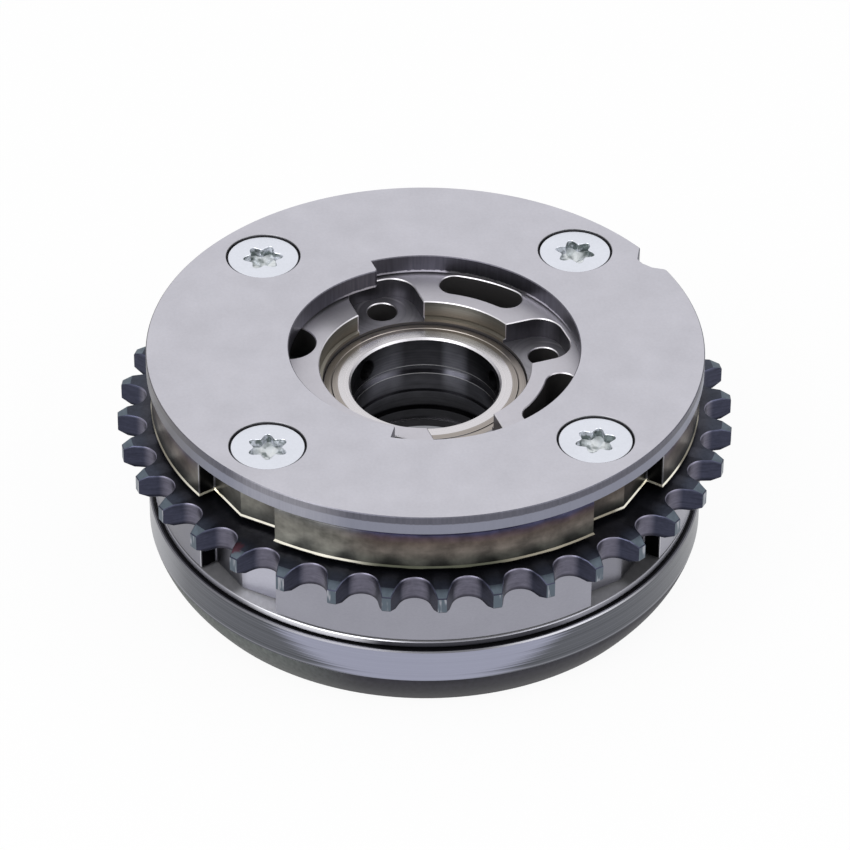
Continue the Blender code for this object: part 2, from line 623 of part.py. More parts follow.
def make_stator(parts, cutters, surface):
    stator = plate("stator_sprocket", [drum_outline()], BAND_BASE, STATOR_TOP, parts, surface,
                   BAND_CHAMFER)
    neck = plate("stator_neck", [drum_outline(NECK_DEPTH)], SPROCKET_TOP - THROUGH,
                 BAND_BASE + THROUGH, cutters)
    drum = plate("stator_drum", [drum_outline()], STATOR_BASE,
                 SPROCKET_BASE + DRUM_LOWER_CHAMFER + THROUGH, cutters, None, DRUM_LOWER_CHAMFER)
    bevel = (SPROCKET_WIDTH - SPROCKET_TIP_WIDTH) / 2
    shoulder = SPROCKET_TIP_RADIUS - SPROCKET_CHAMFER_DEPTH
    core = RECESS_STEP_RADIUS / 2
    rim = turned("sprocket_blank", [
        (core, SPROCKET_TOP), (shoulder, SPROCKET_TOP),
        (SPROCKET_TIP_RADIUS, SPROCKET_TOP - bevel), (SPROCKET_TIP_RADIUS, SPROCKET_BASE + bevel),
        (shoulder, SPROCKET_BASE), (core, SPROCKET_BASE)], cutters, None, 2 * TOOTH_COUNT)
    gullet_angles = [TOOTH_PHASE_DEG + 360 / TOOTH_COUNT * (i + 0.5) for i in range(TOOTH_COUNT)]
    gullets = plate("sprocket_gullets", [gullet_outline(a) for a in gullet_angles],
                    SPROCKET_BASE - THROUGH, SPROCKET_TOP + THROUGH, cutters)
    cut(rim, gullets)
    for addition in (neck, drum, rim):
        fuse(stator, addition)
    chambers = plate("stator_chambers", [chamber_outline()], STATOR_BASE - THROUGH,
                     STATOR_TOP + THROUGH, cutters)
    cut(stator, chambers)
    countersink(stator, "stator", STATOR_BASE - THROUGH, cutters)
    finish(stator)


def screw_side(clearance, top, tip):
    """A countersunk screw's outer side from its top down to its tip, offset by a clearance."""
    head = SCREW_HEAD_RADIUS + clearance
    shank = SCREW_SHANK_RADIUS + clearance
    cone_top = COVER_TOP - SCREW_HEAD_SINK - SCREW_HEAD_RIM
    return [(head, top), (head, cone_top), (shank, cone_top - (head - shank)), (shank, tip)]


def countersink(target, name, low, cutters):
    """Cut the screws' countersunk holes through a piece, from above the cover down to low."""
    top = COVER_TOP + THROUGH
    profile = [(0.0, top)] + screw_side(GAP, top, low) + [(0.0, low)]
    for i, degrees in enumerate(SCREW_ANGLES):
        sink = turned(f"{name}_countersink_{i + 1}", profile, cutters, None, SMALL_STEPS)
        stand_at(sink, SCREW_CIRCLE_RADIUS, degrees)
        cut(target, sink)


def make_cover(parts, cutters, surface):
    cover = plate("cover_plate", [cover_rim_outline(), cover_opening_outline()], COVER_BASE,
                  COVER_TOP, parts, surface, COVER_EDGE_CHAMFER, {1})
    countersink(cover, "cover", COVER_BASE - THROUGH, cutters)
    finish(cover)


def make_screws(parts, cutters, surface):
    top = COVER_TOP - SCREW_HEAD_SINK
    tip = SCREW_TIP_INSET
    profile = [(0.0, top)] + screw_side(0.0, top, tip + SCREW_TIP_CHAMFER)
    profile += [(SCREW_SHANK_RADIUS - SCREW_TIP_CHAMFER, tip), (0.0, tip)]
    for i, degrees in enumerate(SCREW_ANGLES):
        screw = turned(f"cover_screw_{i + 1}", profile, parts, surface, SMALL_STEPS)
        stand_at(screw, SCREW_CIRCLE_RADIUS, degrees)
        socket = plate(f"screw_socket_{i + 1}", [six_lobe_outline()],
                       top - SOCKET_DEPTH, top + THROUGH, cutters)
        stand_at(socket, SCREW_CIRCLE_RADIUS, degrees)
        cut(screw, socket)
        finish(screw)


def make_lock_bush(parts, surface):
    outer = BUSH_OUTER_RADIUS
    inner = BUSH_BORE_RADIUS
    base = REAR_THICKNESS - BUSH_HEIGHT
    bush = turned("lock_bush", [
        (outer, REAR_THICKNESS), (outer, base), (inner, base),
        (inner, REAR_THICKNESS - LOCK_EDGE_CHAMFER),
        (inner + LOCK_EDGE_CHAMFER, REAR_THICKNESS)], parts, surface, SMALL_STEPS)
    stand_at(bush, LOCK_CIRCLE_RADIUS, LOCK_ANGLE)
    smooth(bush)


def gallery(name, degrees, height, cutters):
    """A drilled oil way that runs outwards from the rotor's bore."""
    drill = cylinder(name, GALLERY_RADIUS, ROTOR_BORE_RADIUS - 2 * THROUGH,
                     PORT_RELIEF_RADIUS - THROUGH, cutters, 8)
    drill.matrix_world = (Matrix.Translation((0.0, 0.0, height))
                          @ Matrix.Rotation(math.radians(degrees), 4, "Z")
                          @ Matrix.Rotation(math.radians(90.0), 4, "Y"))
    return drill


def make_rotor(parts, cutters, surface):
    rotor = plate("rotor", [rotor_outline()], ROTOR_BASE, ROTOR_TOP, parts, surface,
                  ROTOR_EDGE_CHAMFER)
    floor = ROTOR_TOP - COUNTERBORE_DEPTH
    bore = turned("rotor_bore", [
        (0.0, ROTOR_TOP + THROUGH), (COUNTERBORE_RADIUS, ROTOR_TOP + THROUGH),
        (COUNTERBORE_RADIUS, floor), (ROTOR_BORE_RADIUS, floor - COUNTERBORE_CHAMFER),
        (ROTOR_BORE_RADIUS, ROTOR_BASE - THROUGH), (0.0, ROTOR_BASE - THROUGH)],
        cutters, None, MEDIUM_STEPS)
    cut(rotor, bore)
    pockets = plate("pocket_cuts", [pocket_outline(a) for a in POCKET_ANGLES],
                    ROTOR_TOP - POCKET_DEPTH, ROTOR_TOP + THROUGH, cutters)
    cut(rotor, pockets)
    kidneys = plate("kidney_cuts", [kidney_outline(a) for a in KIDNEY_ANGLES],
                    ROTOR_TOP - KIDNEY_DEPTH, ROTOR_TOP + THROUGH, cutters)
    cut(rotor, kidneys)
    for i, degrees in enumerate(POCKET_ANGLES):
        hole = cylinder(f"pocket_hole_{i + 1}", POCKET_HOLE_RADIUS,
                        ROTOR_TOP - POCKET_DEPTH - POCKET_HOLE_DEPTH, ROTOR_TOP, cutters, 20)
        stand_at(hole, POCKET_HOLE_CIRCLE, degrees)
        cut(rotor, hole)
    lock_bore = cylinder("lock_bore", LOCK_BORE_RADIUS, ROTOR_BASE - THROUGH,
                         ROTOR_TOP + THROUGH, cutters)
    stand_at(lock_bore, LOCK_CIRCLE_RADIUS, LOCK_ANGLE)
    cut(rotor, lock_bore)
    stop_port = STOP_VANE_HALF_ANGLE - STOP_VANE_PORT_INSET_DEG
    for i, centre in enumerate(VANE_ANGLES):
        offset = stop_port if i == 0 else GALLERY_OFFSET_DEG
        cut(rotor, gallery(f"advance_gallery_{i + 1}", centre + offset,
                           ADVANCE_GALLERY_HEIGHT, cutters))
        cut(rotor, gallery(f"retard_gallery_{i + 1}", centre - offset,
                           RETARD_GALLERY_HEIGHT, cutters))
    finish(rotor)


def groove(radius, centre, width, depth):
    """Four profile points, going up, of a square groove cut into a wall at a radius."""
    low = centre - width / 2
    high = centre + width / 2
    return [(radius, low), (radius + depth, low), (radius + depth, high), (radius, high)]


def make_sleeve(parts, cutters, surface):
    outer = SLEEVE_OUTER_RADIUS
    top = SLEEVE_TOP
    base = ROTOR_BASE
    bore = SLEEVE_BORE_RADIUS
    outside = []
    for height in (ADVANCE_GALLERY_HEIGHT, RETARD_GALLERY_HEIGHT):
        outside += reversed(groove(outer, height, SLEEVE_OUTER_GROOVE_WIDTH,
                                   -SLEEVE_OUTER_GROOVE_DEPTH))
    profile = [(SLEEVE_RIM_RADIUS, top), (outer, top - SLEEVE_SHOULDER_DROP)]
    profile += outside
    profile += [(outer, base), (SLEEVE_SEAT_RADIUS, base), (SLEEVE_SEAT_RADIUS, SLEEVE_SEAT_TOP),
                (bore, SLEEVE_SEAT_TOP)]
    profile += groove(bore, RETARD_GALLERY_HEIGHT, SLEEVE_GROOVE_WIDTH, SLEEVE_GROOVE_DEPTH)
    profile += groove(bore, SLEEVE_LINE_GROOVE_HEIGHT, SLEEVE_LINE_GROOVE_WIDTH,
                      SLEEVE_LINE_GROOVE_DEPTH)
    profile += groove(bore, ADVANCE_GALLERY_HEIGHT, SLEEVE_GROOVE_WIDTH, SLEEVE_GROOVE_DEPTH)
    profile += [(bore, top - SLEEVE_RIM_CHAMFER), (bore + SLEEVE_RIM_CHAMFER, top)]
    sleeve = turned("centre_sleeve", profile, parts, surface, MEDIUM_STEPS)
    ports = [(SLEEVE_PORT_HEIGHT, SLEEVE_PORT_RADIUS), (RETARD_GALLERY_HEIGHT, GALLERY_RADIUS)]
    for row, (height, radius) in enumerate(ports):
        for i in range(SLEEVE_PORT_COUNT):
            degrees = SLEEVE_PORT_PHASE_DEG + 360 / SLEEVE_PORT_COUNT * i
            port = cylinder(f"sleeve_port_{row + 1}_{i + 1}", radius, bore - 2 * THROUGH,
                            outer + THROUGH, cutters, 12)
            port.matrix_world = (Matrix.Translation((0.0, 0.0, height))
                                 @ Matrix.Rotation(math.radians(degrees), 4, "Z")
                                 @ Matrix.Rotation(math.radians(90.0), 4, "Y"))
            cut(sleeve, port)
    finish(sleeve)


def make_vane_seals(parts, seal_surface, spring_surface):
    tip = SEAL_TIP_RADIUS
    back = SEAL_BACK_RADIUS
    half = SEAL_GROOVE_HALF_WIDTH - GAP
    chamfer = SEAL_TIP_CHAMFER
    section = [(back, -half), (tip - chamfer, -half), (tip, chamfer - half), (tip, half - chamfer),
               (tip - chamfer, half), (back, half)]
    for i, centre in enumerate(VANE_ANGLES):
        turn = Matrix.Rotation(math.radians(centre), 3, "Z")
        outline = [turn @ Vector((x, y, 0.0)) for x, y in section]
        seal = plate(f"vane_seal_{i + 1}", [outline], ROTOR_BASE, ROTOR_TOP, parts, seal_surface)
        smooth(seal)
        make_leaf_spring(f"vane_seal_spring_{i + 1}", centre, SEAL_FLOOR_RADIUS + GAP,
                         back - GAP, half, parts, spring_surface)


def make_leaf_spring(name, centre, low_radius, high_radius, half_width, parts, surface):
    """A bowed strip: its middle bears on the groove's floor and its ends lift the seal."""
    half_length = (ROTOR_TOP - ROTOR_BASE) / 2 - 2 * GAP
    bow = high_radius - low_radius - LEAF_THICKNESS
    stations = [-1 + 2 * i / 8 for i in range(9)]
    lower = [Vector((low_radius + bow * s * s, half_length * s, 0.0)) for s in stations]
    upper = [point + Vector((LEAF_THICKNESS, 0.0, 0.0)) for point in reversed(lower)]
    leaf = plate(name, [lower + upper], -half_width, half_width, parts, surface)
    leaf.matrix_world = (Matrix.Translation((0.0, 0.0, (ROTOR_TOP + ROTOR_BASE) / 2))
                         @ Matrix.Rotation(math.radians(centre), 4, "Z")
                         @ Matrix.Rotation(math.radians(90.0), 4, "X"))
    smooth(leaf)


def make_lock_pin(parts, pin_surface, spring_surface, plug_surface):
    body = LOCK_PIN_RADIUS
    base = ROTOR_BASE
    top = LOCK_PIN_TOP
    edge = LOCK_EDGE_CHAMFER
    pin = turned("lock_pin", [
        (0.0, LOCK_POCKET_FLOOR), (LOCK_POCKET_RADIUS, LOCK_POCKET_FLOOR),
        (LOCK_POCKET_RADIUS, top), (body, top), (body, base + LOCK_NOSE_LENGTH),
        (LOCK_NOSE_RADIUS, base + LOCK_NOSE_LENGTH), (LOCK_NOSE_RADIUS, base + edge),
        (LOCK_NOSE_RADIUS - edge, base), (0.0, base)], parts, pin_surface, SMALL_STEPS)
    stand_at(pin, LOCK_CIRCLE_RADIUS, LOCK_ANGLE)
    smooth(pin)
    plug_top = PLUG_BASE + PLUG_THICKNESS
    plug = turned("lock_pin_plug", [
        (body - edge, plug_top), (body, plug_top - edge), (body, PLUG_BASE),
        (PLUG_VENT_RADIUS, PLUG_BASE), (PLUG_VENT_RADIUS, plug_top)],
        parts, plug_surface, SMALL_STEPS)
    stand_at(plug, LOCK_CIRCLE_RADIUS, LOCK_ANGLE)
    smooth(plug)
    make_lock_spring(LOCK_POCKET_FLOOR + GAP, PLUG_BASE - GAP, parts, spring_surface)


def make_lock_spring(low, high, parts, surface):
    """A helical compression spring whose wire ends lie flat against the pin and the plug."""
    wire = LOCK_SPRING_WIRE / 2
    per_turn = 10
    count = int(LOCK_SPRING_TURNS * per_turn)
    curve = bpy.data.curves.new("lock_spring_wire", "CURVE")
    curve.dimensions = "3D"
    curve.bevel_depth = wire
    curve.bevel_resolution = 2
    curve.use_fill_caps = True
    spline = curve.splines.new("POLY")
    spline.points.add(count)
    for i, slot in enumerate(spline.points):
        share = i / count
        rise = share - math.sin(2 * math.pi * share) / (2 * math.pi)
        point = polar(LOCK_SPRING_RADIUS, 360.0 * i / per_turn,
                      low + wire + (high - low - 2 * wire) * rise)
        slot.co = (*point, 1.0)
    source = bpy.data.objects.new("lock_spring_curve", curve)
    parts.objects.link(source)
    stand_at(source, LOCK_CIRCLE_RADIUS, LOCK_ANGLE)
    spring = as_mesh_object(source, "lock_spring", parts, surface)
    smooth(spring)


def main():
    clear_scene()
    parts = collection("Cam phaser")
    cutters = collection("Cutters")
    ground = material("ground_steel", (0.60, 0.59, 0.63), 0.34)
    turned_steel = material("turned_steel", (0.42, 0.42, 0.45), 0.32)
    sintered = material("sintered_steel", (0.20, 0.20, 0.23), 0.42)
    rotor_steel = material("rotor_steel", (0.55, 0.54, 0.58), 0.36)
    sleeve_steel = material("sleeve_steel", (0.52, 0.50, 0.49), 0.30)
    zinc = material("bright_zinc", (0.82, 0.83, 0.86), 0.22)
    hardened = material("hardened_steel", (0.30, 0.30, 0.32), 0.28)
    spring_steel = material("spring_steel", (0.38, 0.38, 0.40), 0.30)
    seal_plastic = material("seal_plastic", (0.10, 0.09, 0.08), 0.55, 0.0)
    make_rear_plate(parts, cutters, turned_steel)
    make_stator(parts, cutters, sintered)
    make_cover(parts, cutters, ground)
    make_screws(parts, cutters, zinc)
    make_lock_bush(parts, hardened)
    make_rotor(parts, cutters, rotor_steel)
    make_sleeve(parts, cutters, sleeve_steel)
    make_vane_seals(parts, seal_plastic, spring_steel)
    make_lock_pin(parts, hardened, spring_steel, turned_steel)


main()
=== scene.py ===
"""Looks of a hydraulic cam phaser: fine pieces and finishes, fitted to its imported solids.

Lengths are in metres and +Z runs up the cam axis, from the rear plate to the cover. Angles are in
degrees, counter-clockwise from +X seen from the cover side.
"""

import math

import bmesh
import bpy
from bpy.props import FloatProperty, FloatVectorProperty, IntProperty, PointerProperty
from bpy.types import Operator, Panel, PropertyGroup
from mathutils import Matrix, Vector
from mathutils.geometry import delaunay_2d_cdt


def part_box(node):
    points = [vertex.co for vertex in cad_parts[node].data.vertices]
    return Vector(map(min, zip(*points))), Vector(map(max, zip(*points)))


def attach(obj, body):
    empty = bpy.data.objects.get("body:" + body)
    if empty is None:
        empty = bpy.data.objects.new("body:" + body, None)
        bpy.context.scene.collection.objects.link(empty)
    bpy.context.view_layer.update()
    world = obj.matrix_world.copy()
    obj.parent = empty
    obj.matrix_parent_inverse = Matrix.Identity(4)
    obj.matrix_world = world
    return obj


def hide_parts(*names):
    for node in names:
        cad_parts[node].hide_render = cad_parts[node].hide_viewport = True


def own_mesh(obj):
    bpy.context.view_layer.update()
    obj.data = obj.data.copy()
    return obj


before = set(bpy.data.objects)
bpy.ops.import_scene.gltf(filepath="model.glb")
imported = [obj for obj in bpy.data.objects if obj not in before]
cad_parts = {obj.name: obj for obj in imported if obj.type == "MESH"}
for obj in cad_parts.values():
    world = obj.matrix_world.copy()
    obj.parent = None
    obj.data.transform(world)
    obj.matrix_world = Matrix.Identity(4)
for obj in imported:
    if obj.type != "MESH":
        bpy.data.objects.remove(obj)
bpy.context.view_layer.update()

bl_info = {
    "name": "Cam Phaser Looks",
    "version": (1, 0, 0),
    "blender": (4, 5, 0),
    "location": "View3D > Sidebar > Cam Phaser",
    "description": "Builds the visible pieces and the finishes of a cam phaser",
    "category": "Add Mesh",
}

MM = 0.001

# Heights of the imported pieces
REAR_BASE, REAR_TOP = (corner.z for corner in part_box("rear_plate"))
STATOR_BASE, STATOR_TOP = (corner.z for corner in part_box("stator_sprocket"))
COVER_BASE, COVER_TOP = (corner.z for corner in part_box("cover_plate"))
SCREW_TIP, SCREW_TOP = (corner.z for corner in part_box("cover_screw_1"))
ROTOR_BASE, ROTOR_TOP = (corner.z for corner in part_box("rotor"))
SLEEVE_BASE, SLEEVE_TOP = (corner.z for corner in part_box("centre_sleeve"))
PLUG_BASE, PLUG_TOP = (corner.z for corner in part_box("lock_pin_plug"))
SPRING_BASE, SPRING_TOP = (corner.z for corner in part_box("lock_spring"))

# Sizes that several pieces share, and the places of what repeats
GAP = 0.3 * MM
SCREW_CIRCLE = 34.78 * MM
SCREW_PHASE = 137.5
SCREW_COUNT = 4
SCREW_ANGLES = [SCREW_PHASE + 360 / SCREW_COUNT * i for i in range(SCREW_COUNT)]
SCREW_TURNS = (8.0, 31.0, 17.0, 44.0)
SCREW_SHANK = 3.0 * MM
NOTCH_ANGLES = (27.0, 28.8, 30.8, 33.2, 34.9, 38.1, 40.0)
LOBE_HALF_ANGLE = 11.0
HUB_RADIUS = 26.5 * MM
CHAMBER_RADIUS = 38.5 * MM
CHAMBER_CORNER = 1.0 * MM
VANE_CORNER = 1.3 * MM
VANE_COUNT = 4
VANE_SHELF = HUB_RADIUS + 4.0 * MM
STOP_VANE_RELIEF = 3.0
LOCK_CIRCLE = 21.8 * MM
LOCK_ANGLE = 166.2
LOCK_BORE = 4.2 * MM
POCKET_ANGLES = (20.5, 110.5, 290.5)
KIDNEY_ANGLES = (65.7, -24.3, -114.3)
GALLERY_RADIUS = 1.1 * MM
GALLERY_OFFSET = 11.0
UPPER_GALLERY = 24.3 * MM
LOWER_GALLERY = 17.2 * MM

# How fine the round forms are
ARC_STEP = 2.0
LATHE_STEPS = 180
HOLE_STEPS = 48
FINE_HOLE_STEPS = 96
DRILL_STEPS = 24
TAPER_STEPS = 10
SMOOTH_ANGLE = 28.0
MERGE_DISTANCE = 2e-6

# Camera at the photograph's viewing angle, and where the lamps point
CAMERA_PLACE = Vector((0.0264, -619.51, 490.80)) * MM
CAMERA_PITCH_DOWN = 37.118
CAMERA_ROLL = 0.4075
CAMERA_LENS = 211.55
CAMERA_SENSOR = 36.0
LAMP_TARGET = Vector((0.0, 0.0, 0.02))

# Temper colours of the stator's band, from its foot to its top, partly painted reflection
BAND_TEMPER_AND_REFLECTION = (
    (0.0, (0.035, 0.037, 0.030)), (0.18, (0.090, 0.090, 0.078)), (0.42, (0.190, 0.165, 0.145)),
    (0.66, (0.125, 0.098, 0.084)), (0.80, (0.095, 0.065, 0.080)), (0.90, (0.062, 0.060, 0.125)),
    (1.0, (0.075, 0.078, 0.140)))

# Where the paint dab lies
PAINT_DAB_PLACE = (-28.0 * MM, -36.2 * MM, 25.6 * MM)


def display(red, green, blue):
    """The linear colour of 0 to 255 display values."""
    shares = [value / 255 for value in (red, green, blue)]
    return tuple(s / 12.92 if s <= 0.04045 else ((s + 0.055) / 1.055) ** 2.4 for s in shares)


def length(name, description, default):
    """A size in millimetres, kept in metres."""
    return FloatProperty(name=name, description=description, default=default * MM, min=0.0,
                         unit="LENGTH", precision=5)


def angle(name, description, default):
    """An angle in degrees, kept in radians."""
    return FloatProperty(name=name, description=description, default=math.radians(default),
                         unit="ROTATION")


def share(name, description, default):
    return FloatProperty(name=name, description=description, default=default, min=0.0, max=1.0,
                         subtype="FACTOR")


def colour(name, description, red, green, blue):
    """A colour given by its display values."""
    return FloatVectorProperty(name=name, description=description, size=3, min=0.0, max=1.0,
                               subtype="COLOR", default=display(red, green, blue))


def polar(radius, degrees, height=0.0):
    """A point at a radius and an angle about the cam axis."""
    turn = math.radians(degrees)
    return Vector((radius * math.cos(turn), radius * math.sin(turn), height))


def arc(radius, start, end, step=ARC_STEP, centre=(0.0, 0.0, 0.0)):
    """Points along an arc from start to end, both included, no further apart than step."""
    count = max(1, math.ceil(abs(end - start) / step))
    middle = Vector(centre)
    return [middle + polar(radius, start + (end - start) * i / count) for i in range(count + 1)]


def circle(radius, centre=(0.0, 0.0, 0.0), steps=HOLE_STEPS):
    """A closed round outline, counter-clockwise."""
    middle = Vector(centre)
    return [middle + polar(radius, 360 * i / steps) for i in range(steps)]


def turned_by(points, degrees):
    rotation = Matrix.Rotation(math.radians(degrees), 3, "Z")
    return [rotation @ point for point in points]


def inset(outline, distance):
    """A counter-clockwise outline moved inwards by a distance, or outwards by a negative one."""
    moved = []
    for i, point in enumerate(outline):
        before = (point - outline[i - 1]).normalized()
        after = (outline[(i + 1) % len(outline)] - point).normalized()
        left = Vector((-before.y, before.x, 0.0)) + Vector((-after.y, after.x, 0.0))
        reach = left.length_squared / 2
        moved.append(point + left * (distance / max(reach, 0.2)))
    return moved


def rounded(points, corners, radius, segments=6):
    """The closed outline with the corners at the given indices replaced by round fillets."""
    result = []
    for i, point in enumerate(points):
        if i not in corners:
            result.append(point)
            continue
        back = (points[i - 1] - point).normalized()
        ahead = (points[(i + 1) % len(points)] - point).normalized()
        half = back.angle(ahead) / 2
        reach = radius / math.tan(half)
        centre = point + (back + ahead).normalized() * radius / math.sin(half)
        first = point + back * reach - centre
        last = point + ahead * reach - centre
        turn = -first.xy.angle_signed(last.xy)
        for k in range(segments + 1):
            result.append(centre + Matrix.Rotation(turn * k / segments, 3, "Z") @ first)
    return result


def is_inside(point, outlines):
    """Whether a point lies inside the first outline and outside the others."""
    crossings = 0
    for outline in outlines:
        for first, second in zip(outline, outline[1:] + outline[:1]):
            if (first.y > point.y) != (second.y > point.y):
                part = (point.y - first.y) / (second.y - first.y)
                crossings += point.x < first.x + part * (second.x - first.x)
    return crossings % 2 == 1


class Form:
    """A mesh made of walls between outlines and of flat caps that fill them."""

    def __init__(self):
        self.shape = bmesh.new()
        self.surfaces = []

    def face(self, points, surface):
        if surface not in self.surfaces:
            self.surfaces.append(surface)
        made = self.shape.faces.new([self.shape.verts.new(point) for point in points])
        made.material_index = self.surfaces.index(surface)

    def wall(self, lower, low, upper, high, surface, closed=True):
        """A strip of faces from one outline at a height to another of as many points.

        The surface is one for the whole strip, or a list with one for each face.
        """
        count = len(lower)
        for i in range(count if closed else count - 1):
            k = (i + 1) % count
            self.face([(lower[i].x, lower[i].y, low), (lower[k].x, lower[k].y, low),
                       (upper[k].x, upper[k].y, high), (upper[i].x, upper[i].y, high)],
                      surface[i] if isinstance(surface, list) else surface)

    def stack(self, levels, surfaces, closed=True):
        """Walls from level to level, each an outline and its height, in the given surfaces."""
        for (lower, low), (upper, high), surface in zip(levels, levels[1:], surfaces):
            self.wall(lower, low, upper, high, surface, closed)

    def edged_wall(self, outline, broken, low, high, chamfer, surfaces):
        """An upright wall with a chamfer at its foot and at its top."""
        self.stack([(broken, low), (outline, low + chamfer), (outline, high - chamfer),
                    (broken, high)], surfaces)

    def edged_hole(self, outline, broken, top, edge_break, bottom, surfaces):
        """An upright hole with a small chamfer round its mouth."""
        self.stack([(broken, top), (outline, top - edge_break), (outline, bottom)], surfaces)

    def lathe(self, profile, surfaces, centre=(0.0, 0.0, 0.0), steps=LATHE_STEPS):
        """A turned wall along a (radius, height) profile, with a surface for each stretch."""
        levels = [(circle(radius, centre, steps), height) for radius, height in profile]
        self.stack(levels, surfaces)

    def cap(self, outlines, height, surface):
        """The flat area inside the first outline and outside the others."""
        points = []
        edges = []
        for outline in outlines:
            first = len(points)
            points += outline
            edges += [(first + i, first + (i + 1) % len(outline)) for i in range(len(outline))]
        flat = [point.xy / MM for point in points]
        filled = delaunay_2d_cdt(flat, edges, [], 1, 1e-6)
        sources = filled[3]
        for triangle in filled[2]:
            corners = [points[sources[i][0]] for i in triangle]
            middle = (corners[0] + corners[1] + corners[2]) / 3
            if is_inside(middle, outlines):
                self.face([(point.x, point.y, height) for point in corners], surface)

    def mesh(self, name):
        """The shape as a mesh with its materials, and its surfaces numbered as zones."""
        made = bpy.data.meshes.new(name)
        self.shape.to_mesh(made)
        self.shape.free()
        zones = made.attributes.new("zone", "INT", "FACE")
        zones.data.foreach_set("value", [face.material_index for face in made.polygons])
        for surface in self.surfaces:
            made.materials.append(surface)
        return made


def settle(mesh, name):
    """Weld a mesh, turn its faces outwards, check that it is closed and shade its rounds."""
    weld = bmesh.new()
    weld.from_mesh(mesh)
    bmesh.ops.remove_doubles(weld, verts=weld.verts, dist=MERGE_DISTANCE)
    bmesh.ops.dissolve_degenerate(weld, edges=weld.edges, dist=MERGE_DISTANCE / 2)
    bmesh.ops.recalc_face_normals(weld, faces=weld.faces)
    loose = [edge for edge in weld.edges if not edge.is_manifold]
    places = [tuple(round(c / MM, 2) for c in edge.verts[0].co) for edge in loose[:4]]
    weld.to_mesh(mesh)
    weld.free()
    if loose:
        raise RuntimeError(f"{name} is open at {len(loose)} edges, such as {places}")
    mesh.shade_smooth()
    mesh.set_sharp_from_angle(angle=math.radians(SMOOTH_ANGLE))


def new_object(name, data):
    """An object in the scene."""
    made = bpy.data.objects.new(name, data)
    bpy.context.scene.collection.objects.link(made)
    return made


def add_piece(name, mesh, body, slot, *nodes):
    """Put a finished piece in the scene, on its body and in place of its CAD nodes."""
    settle(mesh, name)
    piece = new_object(name, mesh)
    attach(piece, body)
    if nodes:
        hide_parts(*nodes)
    return piece


def evaluated(piece):
    """The piece's mesh with its modifiers applied."""
    bpy.context.view_layer.update()
    graph = bpy.context.evaluated_depsgraph_get()
    return bpy.data.meshes.new_from_object(piece.evaluated_get(graph))


def drilled(mesh, name, holes, surface):
    """The mesh less radial holes in a finish: (radius, degrees, height, start, end) each."""
    drills = Form()
    for radius, degrees, height, start, end in holes:
        first = len(drills.shape.verts)
        ring = circle(radius, steps=DRILL_STEPS)
        drills.stack([(ring, start), (ring, end)], [surface])
        drills.cap([ring], start, surface)
        drills.cap([ring], end, surface)
        place = (Matrix.Translation((0.0, 0.0, height))
                 @ Matrix.Rotation(math.radians(degrees), 4, "Z")
                 @ Matrix.Rotation(math.radians(90.0), 4, "Y"))
        drills.shape.verts.ensure_lookup_table()
        bmesh.ops.transform(drills.shape, matrix=place, verts=drills.shape.verts[first:])
    drill_mesh = drills.mesh(name + "_drills")
    settle(mesh, name)
    settle(drill_mesh, name + "_drills")
    target = new_object(name + "_blank", mesh)
    tool = new_object(name + "_drills", drill_mesh)
    boolean = target.modifiers.new("Drill", "BOOLEAN")
    boolean.operation = "DIFFERENCE"
    boolean.solver = "EXACT"
    boolean.use_self = True
    boolean.object = tool
    made = evaluated(target)
    for obj in (target, tool):
        bpy.data.objects.remove(obj)
    return made


class Nodes:
    """Adds nodes to a tree and hands back their outputs."""

    def __init__(self, tree):
        self.tree = tree

    def node(self, kind, settings=None, inputs=None):
        """A node of a type: its settings first, then the values or links of its sockets."""
        made = self.tree.nodes.new(kind)
        for name, value in (settings or {}).items():
            if name == "stops":
                self.set_stops(made.color_ramp, value)
            else:
                setattr(made, name, value)
        for name, value in (inputs or {}).items():
            if isinstance(value, Socket):
                self.tree.links.new(value.socket, made.inputs[name])
            else:
                made.inputs[name].default_value = value
        enabled = [socket for socket in made.outputs if socket.enabled]
        return Socket(self, enabled[0]) if enabled else made

    def math(self, operation, *values):
        """A Math node on numbers and links."""
        return self.node("ShaderNodeMath", {"operation": operation}, dict(enumerate(values)))

    @staticmethod
    def set_stops(ramp, stops):
        while len(ramp.elements) < len(stops):
            ramp.elements.new(0.5)
        for element, (position, tone) in zip(ramp.elements, stops):
            element.position = position
            element.color = (*tone, 1.0)


class Socket:
    """An output whose arithmetic adds Math nodes."""

    def __init__(self, nodes, socket):
        self.nodes = nodes
        self.socket = socket

    def output(self, name):
        """Another output of the same node."""
        return Socket(self.nodes, self.socket.node.outputs[name])

    def __add__(self, other):
        return self.nodes.math("ADD", self, other)

    __radd__ = __add__

    def __sub__(self, other):
        return self.nodes.math("SUBTRACT", self, other)

    def __rsub__(self, other):
        return self.nodes.math("SUBTRACT", other, self)

    def __mul__(self, other):
        return self.nodes.math("MULTIPLY", self, other)

    __rmul__ = __mul__

    def __truediv__(self, other):
        return self.nodes.math("DIVIDE", self, other)

    def __rtruediv__(self, other):
        return self.nodes.math("DIVIDE", other, self)

    def __pow__(self, other):
        return self.nodes.math("POWER", self, other)


